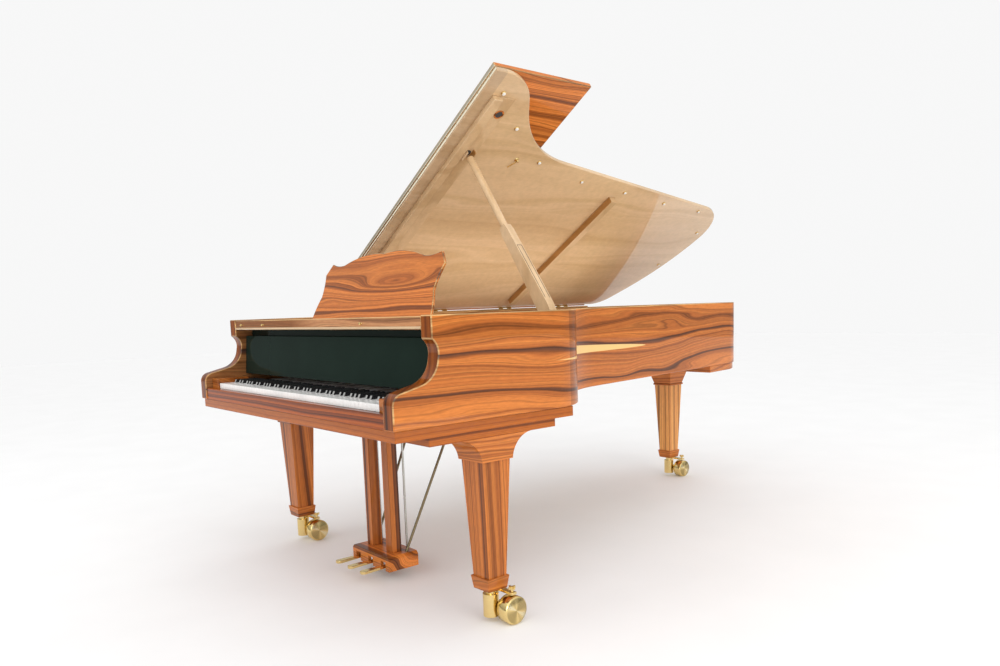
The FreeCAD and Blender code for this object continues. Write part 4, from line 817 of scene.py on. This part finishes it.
class PIANO_OT_lid(PianoOperator):
    """Veneer the lid and its flap, and add the fittings under the lid"""

    bl_idname = "piano.lid"
    bl_label = "Lid"

    def execute(self, context):
        sizes = detail()
        below = (lid_matrix().to_3x3() @ Vector((0.0, 0.0, -1.0))).normalized()

        # Faces of the lining: the underside, and the side edges, whose pale maple is a painted highlight
        def under(face):
            return face.normal.dot(below) > -0.5

        def rear_bar_front(face):
            return face.normal.y < -0.5 and middle_of(face).y > REAR_BAR_START

        def flap_leaf(face):
            return middle_of(face).x > LID_AXIS.x + SPINE_LEAF

        # The lining carries a painted shadow of the front bar
        lining = maple("lengthwise", 1.05, shadow_edge=BAR_SHADOW_EDGE)
        dress("lid_panel", rosewood("lengthwise"), sizes.board_edge, (lining, under))
        flap_brass = metal("flap_brass", (0.86, 0.78, 0.60), 0.2)
        flap = rosewood("lengthwise", place=(0.25, 0.5, 0.0), shade=1.22)
        # The flap's edges get a painted highlight
        dress("lid_flap", flap, sizes.board_edge,
              (flap_brass, lambda face: face.normal.y < -0.9), edge_surface=painted_edge_highlight())
        bar_side = bare_wood("bar_side", (0.43, 0.20, 0.055), (0.34, 0.15, 0.036), "crosswise")
        dress("lid_bars", maple("crosswise"), sizes.board_edge, (bar_side, rear_bar_front))
        dress("lid_hinges", brass(), 0.0, (flap_brass, flap_leaf))
        self.plank()
        self.flap_screws(flap_brass)
        self.spine_bead()
        self.buttons(sizes)
        self.socket(sizes)
        self.catch()
        return {"FINISHED"}

    def plank(self):
        """A thin board beside the front bar that carries the prop's seats."""
        up = lid_matrix()
        back = [up.inverted() @ vert.co for vert in frame["nodes"]["lid_bars"].data.vertices]
        bar = [point for point in back if point.y < FRONT_BAR_END]
        start, end = min(point.x for point in bar), max(point.x for point in bar)
        edge = max(point.y for point in bar)
        shape = bmesh.new()
        place = ((start + end) / 2, edge + PLANK_WIDTH / 2, LID_UNDERSIDE - PLANK_THICKNESS / 2)
        block(shape, (end - start, PLANK_WIDTH, PLANK_THICKNESS), up @ Matrix.Translation(place))
        add_piece("lid_plank", "lid", closed_up(shape), [maple("crosswise")],
                  detail().plank_edge)

    def flap_screws(self, surface):
        """Domed screws along the leaf of the flap's hinge."""
        low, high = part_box("outer_rim")
        shape = bmesh.new()
        for n in range(FLAP_SCREW_COUNT):
            x = low.x + (high.x - low.x) * (n + 0.5) / FLAP_SCREW_COUNT
            spot = Matrix.Translation((x, *FLAP_SCREWS)) @ Matrix.Rotation(math.pi / 2, 4, "X")
            turned(shape, FLAP_SCREW_PROFILE, lid_matrix() @ spot, steps=12)
        add_piece("flap_hinge_screws", "lid", closed_up(shape), [surface])

    def spine_bead(self):
        """A round bead on the hinge line that closes the gap under the lid between the hinges."""
        shape = bmesh.new()
        radius, taper = SPINE_BEAD_RADIUS, SPINE_BEAD_TAPER
        for start, end in SPINE_BEADS:
            size = end - start
            rod = [(0.0, 0.0), (radius * 0.6, 0.0), (radius, taper), (radius, size - taper),
                   (radius * 0.6, size), (0.0, size)]
            place = Matrix.Translation((LID_AXIS.x, start, LID_AXIS.z))
            turned(shape, rod, place @ Matrix.Rotation(-math.pi / 2, 4, "X"), steps=16)
        add_piece("spine_bead", "case", closed_up(shape), [rosewood("lengthwise")])

    def buttons(self, sizes):
        """Rubber buttons in brass cups that rest on the rim when the lid is shut."""
        cups, caps = bmesh.new(), bmesh.new()
        radius = sizes.button_radius
        cup = [(0.0, 0.0), (radius, 0.0), (radius, radius * 0.3), (radius * 0.8, radius * 0.45),
               (0.0, radius * 0.45)]
        cap = [(0.0, radius * 0.4), (radius * 0.72, radius * 0.4), (radius * 0.7, radius * 0.75),
               (radius * 0.42, radius * 0.95), (0.0, radius)]
        for reach, y in LID_BUTTONS:
            turned(cups, cup, under_lid(reach, y))
            turned(caps, cap, under_lid(reach, y))
        add_piece("lid_button_cups", "lid", closed_up(cups), [brass()])
        rubber = felt("button_rubber", (0.86, 0.84, 0.78))
        add_piece("lid_button_caps", "lid", closed_up(caps), [rubber])

    def socket(self, sizes):
        """A turned ring for the prop's other place, and near-black felt in it and where the prop rests, standing
        in for the shade of a hole.
        """
        radius = sizes.socket_radius
        ring = [(radius * 0.72, 0.0), (radius, 0.0), (radius, radius * 0.05),
                (radius * 0.86, radius * 0.09), (radius * 0.72, radius * 0.06), (radius * 0.72, 0.0)]
        on_plank = Matrix.Translation((0.0, 0.0, PLANK_THICKNESS))
        shape = bmesh.new()
        turned(shape, ring, under_lid(*LID_SOCKET) @ on_plank, steps=40)
        add_piece("lid_socket_ring", "lid", closed_up(shape), [rosewood("lengthwise")])
        shape = bmesh.new()
        pad = [(0.0, 0.0), (radius * 0.73, 0.0), (radius * 0.7, FELT_THICKNESS), (0.0, FELT_THICKNESS)]
        for place in (LID_SOCKET, LID_REST):
            turned(shape, pad, under_lid(*place) @ on_plank, steps=40)
        # Near-black: painted shade of a hollow socket
        dark = felt("socket_shade_felt", (0.02, 0.018, 0.016))
        add_piece("lid_socket_felt", "lid", closed_up(shape), [dark])

    def catch(self):
        """A brass catch that holds the lid shut."""
        shape = bmesh.new()
        spot = under_lid(*LID_CATCH)
        turned(shape, CATCH_PROFILE, spot)
        arm = spot @ Matrix.Rotation(math.radians(CATCH_LEAN), 4, "Z")
        block(shape, CATCH_ARM, arm @ Matrix.Translation(CATCH_ARM_MIDDLE))
        add_piece("lid_catch", "lid", closed_up(shape), [brass()], detail().catch_edge)


# Lines on the sleeve's treble side: place across it and above its foot, width and height
SLEEVE_LINES = ((-0.010, 0.18, 0.002, 0.23), (0.010, 0.18, 0.002, 0.23), (0.0, 0.295, 0.022, 0.002))
LINE_DEPTH = 0.0006
LINE_LIFT = 0.0001


class PIANO_OT_prop(PianoOperator):
    """Veneer the lid prop and mark the frame of its sleeve"""

    bl_idname = "piano.prop"
    bl_label = "Lid prop"

    def execute(self, context):
        pale = maple("upright")
        dress("prop_sleeve", pale, detail().sleeve_edge)
        dress("prop_stick", pale, detail().trim_edge)
        self.lines()
        return {"FINISHED"}

    def lines(self):
        """Thin lines on the side of the sleeve that faces the treble."""
        foot = Vector(JOINT_OF["prop_swing"]["pos_m"])
        along = Vector(JOINT_OF["prop_slide"]["axis"]).normalized()
        treble = along.cross(Vector((0.0, -1.0, 0.0)))
        faces = frame["nodes"]["prop_sleeve"].data.polygons
        side = max(faces, key=lambda face: face.area * face.normal.dot(treble))
        out = side.normal.normalized()
        up = (along - out * along.dot(out)).normalized()
        turn = Matrix((out.cross(up), out, up)).transposed().to_4x4()
        start = foot + out * (side.center - foot).dot(out)
        shape = bmesh.new()
        for across, above, wide, tall in SLEEVE_LINES:
            place = Matrix.Translation(start) @ turn @ Matrix.Translation((across, LINE_LIFT, above))
            block(shape, (wide, LINE_DEPTH, tall), place)
        dark = lacquer("sleeve_line", (0.06, 0.030, 0.015), 0.4)
        add_piece("prop_sleeve_lines", "prop", closed_up(shape), [dark])


# Heights of the ends of the legs' shafts, and the shade of each leg's veneer, the tail leg's paler one being
# painted light
SHAFT_LOW = 0.153
SHAFT_HIGH = 0.5295
LEG_SHADES = {"bass": 0.95, "treble": 0.95, "tail": (1.6, 2.4, 3.6)}


class PIANO_OT_legs(PianoOperator):
    """Veneer the legs and polish the casters"""

    bl_idname = "piano.legs"
    bl_label = "Legs and casters"

    def execute(self, context):
        sizes = detail()

        def at_end(face):
            return not SHAFT_LOW < middle_of(face).z < SHAFT_HIGH

        for number, (side, shade) in enumerate(LEG_SHADES.items()):
            shaft = rosewood("upright", place=(0.13 * number, 0.31 * number, 0.0), shade=shade)
            capital = rosewood("level", place=(0.0, 0.0, 0.06 * number))
            dress(f"{side}_leg", shaft, sizes.board_edge, (capital, at_end))
            low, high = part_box(f"{side}_caster_wheel")
            # The wheels' flat faces get brass with painted highlights
            faced = turned_brass(f"{side}_turned_brass", (low + high) / 2)
            dress(f"{side}_caster_wheel", brass(), 0.0, (faced, lambda face: abs(face.normal.x) > 0.9))
            dress(f"{side}_caster_body", brass(), sizes.metal_edge)
            dress(f"{side}_brake_screw", brass(), sizes.screw_edge)
        return {"FINISHED"}


class PIANO_OT_lyre(PianoOperator):
    """Veneer the lyre and polish the pedals, rods and braces"""

    bl_idname = "piano.lyre"
    bl_label = "Lyre"

    def execute(self, context):
        sizes = detail()
        dress("lyre_frame", rosewood("upright", place=(0.05, 0.6, 0.0)), sizes.board_edge)
        dress("pedal_box", rosewood("crosswise", place=(0.0, 0.9, 0.3), shade=1.15), sizes.board_edge)
        for name in ("shift", "sostenuto", "damper"):
            dress(f"{name}_pedal", metal("pedal_brass", finish().brass, 0.12, 30.0), sizes.metal_edge)
            coat(f"{name}_pedal_rod", metal("rod_steel", (0.52, 0.51, 0.47), 0.25))
        coat("lyre_braces", metal("brace_brass", (0.24, 0.19, 0.11), 0.3))
        return {"FINISHED"}


# Place, heading, tilt and roll in radians, and lens shift of the camera
CAMERA_PLACE = (2.56247, -1.14552, 0.99758)
CAMERA_HEADING = -0.8702
CAMERA_TILT = -0.1179
CAMERA_ROLL = -0.0348
CAMERA_SHIFT = (-0.0029, 0.0680)
SENSOR_WIDTH = 36.0
# Tone of the horizon in reflections, where its fade starts and ends, and tones of backdrop and floor
HORIZON = (0.30, 0.30, 0.30, 1.0)
HORIZON_START = 0.02
HORIZON_END = 0.85
BACKDROP = (0.935, 0.935, 0.935, 1.0)
FLOOR_DARK = 0.89
FLOOR_LIGHT = 0.91
# Widths and heights of the softboxes, and the lamps that show in reflections
SOFTBOX = (2.4, 1.6)
SOFTBOX_SIZES = {"softbox_inside": (1.5, 0.6), "softbox_strip": (0.6, 2.2)}
MIRRORED_LAMPS = ("sun", "softbox_strip")
SUN_ANGLE = 70.0


class PIANO_OT_stage(PianoOperator):
    """Set up floor, light and camera"""

    bl_idname = "piano.stage"
    bl_label = "Stage"

    def execute(self, context):
        stage = context.scene.piano_stage
        context.scene.view_settings.view_transform = "Standard"
        self.floor(stage)
        self.sky(context, stage)
        self.lamps(context, stage)
        self.camera(context, stage)
        return {"FINISHED"}

    def floor(self, stage):
        """A pale floor with a faint mottle."""
        shape = bmesh.new()
        bmesh.ops.create_grid(shape, x_segments=1, y_segments=1, size=stage.floor_size / 2)
        mesh = bpy.data.meshes.new("floor")
        shape.to_mesh(mesh)
        shape.free()
        obj = bpy.data.objects.new("floor", mesh)
        bpy.context.scene.collection.objects.link(obj)

        def build(s):
            mottle = s.noise(s.object_space, 3.0, 3.0)
            s.set(Base_Color=s.ramp(mottle, [(0.3, FLOOR_DARK), (0.7, FLOOR_LIGHT)]), Roughness=0.6,
                  Specular_IOR_Level=0.1)

        mesh.materials.append(material("pale_floor", build))

    def sky(self, context, stage):
        """An even sky, darker near the horizon in reflections, and a pale backdrop."""
        world = bpy.data.worlds.new("studio")
        world.use_nodes = True
        context.scene.world = world
        nodes, links = world.node_tree.nodes, world.node_tree.links
        sky = nodes["Background"]
        sky.inputs["Color"].default_value = (1.0, 1.0, 1.0, 1.0)
        sky.inputs["Strength"].default_value = stage.sky
        height = nodes.new("ShaderNodeSeparateXYZ")
        links.new(nodes.new("ShaderNodeTexCoord").outputs["Generated"], height.inputs["Vector"])
        fade = nodes.new("ShaderNodeValToRGB")
        fade.color_ramp.elements[0].position = HORIZON_START
        fade.color_ramp.elements[0].color = HORIZON
        fade.color_ramp.elements[1].position = HORIZON_END
        links.new(height.outputs["Z"], fade.inputs["Fac"])
        mirrored = nodes.new("ShaderNodeBackground")
        mirrored.inputs["Strength"].default_value = stage.sky
        links.new(fade.outputs["Color"], mirrored.inputs["Color"])
        backdrop = nodes.new("ShaderNodeBackground")
        backdrop.inputs["Color"].default_value = BACKDROP
        ray = nodes.new("ShaderNodeLightPath")
        lit = nodes.new("ShaderNodeMixShader")
        links.new(ray.outputs["Is Glossy Ray"], lit.inputs["Fac"])
        links.new(sky.outputs["Background"], lit.inputs[1])
        links.new(mirrored.outputs["Background"], lit.inputs[2])
        seen = nodes.new("ShaderNodeMixShader")
        links.new(ray.outputs["Is Camera Ray"], seen.inputs["Fac"])
        links.new(lit.outputs["Shader"], seen.inputs[1])
        links.new(backdrop.outputs["Background"], seen.inputs[2])
        links.new(seen.outputs["Shader"], nodes["World Output"].inputs["Surface"])

    def lamps(self, context, stage):
        """A broad sun, and softboxes round the part and inside it."""
        middle = Vector((0.0, 1.1, 0.9))
        lamps = [
            ("sun", "SUN", (4.4, -3.6, 5.6), middle, stage.sun),
            ("softbox_right", "AREA", (5.2, 0.2, 3.6), middle, stage.softbox),
            ("softbox_front", "AREA", (-1.6, -4.4, 3.4), middle, stage.softbox * 0.6),
            ("softbox_strip", "AREA", (4.4, -2.9, 1.5), middle, stage.softbox * 0.65),
            ("softbox_low", "AREA", (5.0, 2.2, 0.8), Vector((-0.2, 1.5, 1.3)), stage.softbox),
            ("softbox_inside", "AREA", (-0.3, 1.3, 0.945), Vector((-0.42, 1.3, 1.3)),
             stage.softbox * 0.085),
        ]
        for name, kind, place, aim, power in lamps:
            lamp = bpy.data.lights.new(name, kind)
            lamp.energy = power
            if kind == "SUN":
                lamp.angle = math.radians(SUN_ANGLE)
            else:
                lamp.shape = "RECTANGLE"
                lamp.size, lamp.size_y = SOFTBOX_SIZES.get(name, SOFTBOX)
            obj = bpy.data.objects.new(name, lamp)
            obj.visible_glossy = name in MIRRORED_LAMPS
            obj.visible_camera = False
            turn = (aim - Vector(place)).to_track_quat("-Z", "Y").to_matrix().to_4x4()
            obj.matrix_world = Matrix.Translation(place) @ turn
            context.scene.collection.objects.link(obj)

    def camera(self, context, stage):
        """A camera turned by its heading, tilt and roll."""
        heading, tilt, roll = CAMERA_HEADING, CAMERA_TILT, CAMERA_ROLL
        level = math.cos(tilt)
        ahead = Vector((math.sin(heading) * level, math.cos(heading) * level, math.sin(tilt)))
        right = Vector((math.cos(heading), -math.sin(heading), 0.0))
        up = right.cross(ahead)
        side = right * math.cos(roll) + up * math.sin(roll)
        top = up * math.cos(roll) - right * math.sin(roll)
        data = bpy.data.cameras.new("camera")
        data.lens = stage.lens
        data.sensor_width = SENSOR_WIDTH
        data.shift_x, data.shift_y = CAMERA_SHIFT
        data.clip_end = 200.0
        obj = bpy.data.objects.new("camera", data)
        turn = Matrix((side, top, -ahead)).transposed().to_4x4()
        obj.matrix_world = Matrix.Translation(CAMERA_PLACE) @ turn
        context.scene.collection.objects.link(obj)
        context.scene.camera = obj


class PIANO_PT_panel(bpy.types.Panel):
    """Sidebar panel with the piano's operators"""

    bl_idname = "PIANO_PT_panel"
    bl_label = "Grand piano"
    bl_space_type = "VIEW_3D"
    bl_region_type = "UI"
    bl_category = "Piano"

    def draw(self, context):
        for operator in OPERATORS:
            self.layout.operator(operator.bl_idname)
        for group in ("piano_finish", "piano_detail", "piano_stage"):
            settings = getattr(context.scene, group)
            for name in settings.__annotations__:
                self.layout.prop(settings, name)


OPERATORS = (PIANO_OT_case, PIANO_OT_inside, PIANO_OT_keyboard, PIANO_OT_music_rest, PIANO_OT_lid,
             PIANO_OT_prop, PIANO_OT_legs, PIANO_OT_lyre, PIANO_OT_stage)
SETTINGS = {"piano_finish": PianoFinish, "piano_detail": PianoDetail, "piano_stage": PianoStage}


def register():
    for group in SETTINGS.values():
        bpy.utils.register_class(group)
    for name, group in SETTINGS.items():
        setattr(bpy.types.Scene, name, PointerProperty(type=group))
    for one in OPERATORS:
        bpy.utils.register_class(one)
    bpy.utils.register_class(PIANO_PT_panel)


def unregister():
    bpy.utils.unregister_class(PIANO_PT_panel)
    for one in reversed(OPERATORS):
        bpy.utils.unregister_class(one)
    for name, group in SETTINGS.items():
        delattr(bpy.types.Scene, name)
        bpy.utils.unregister_class(group)


def main():
    register()
    bpy.ops.piano.stage()
    bpy.ops.piano.case()
    bpy.ops.piano.inside()
    bpy.ops.piano.keyboard()
    bpy.ops.piano.music_rest()
    bpy.ops.piano.lid()
    bpy.ops.piano.prop()
    bpy.ops.piano.legs()
    bpy.ops.piano.lyre()


if __name__ == "__main__":
    main()
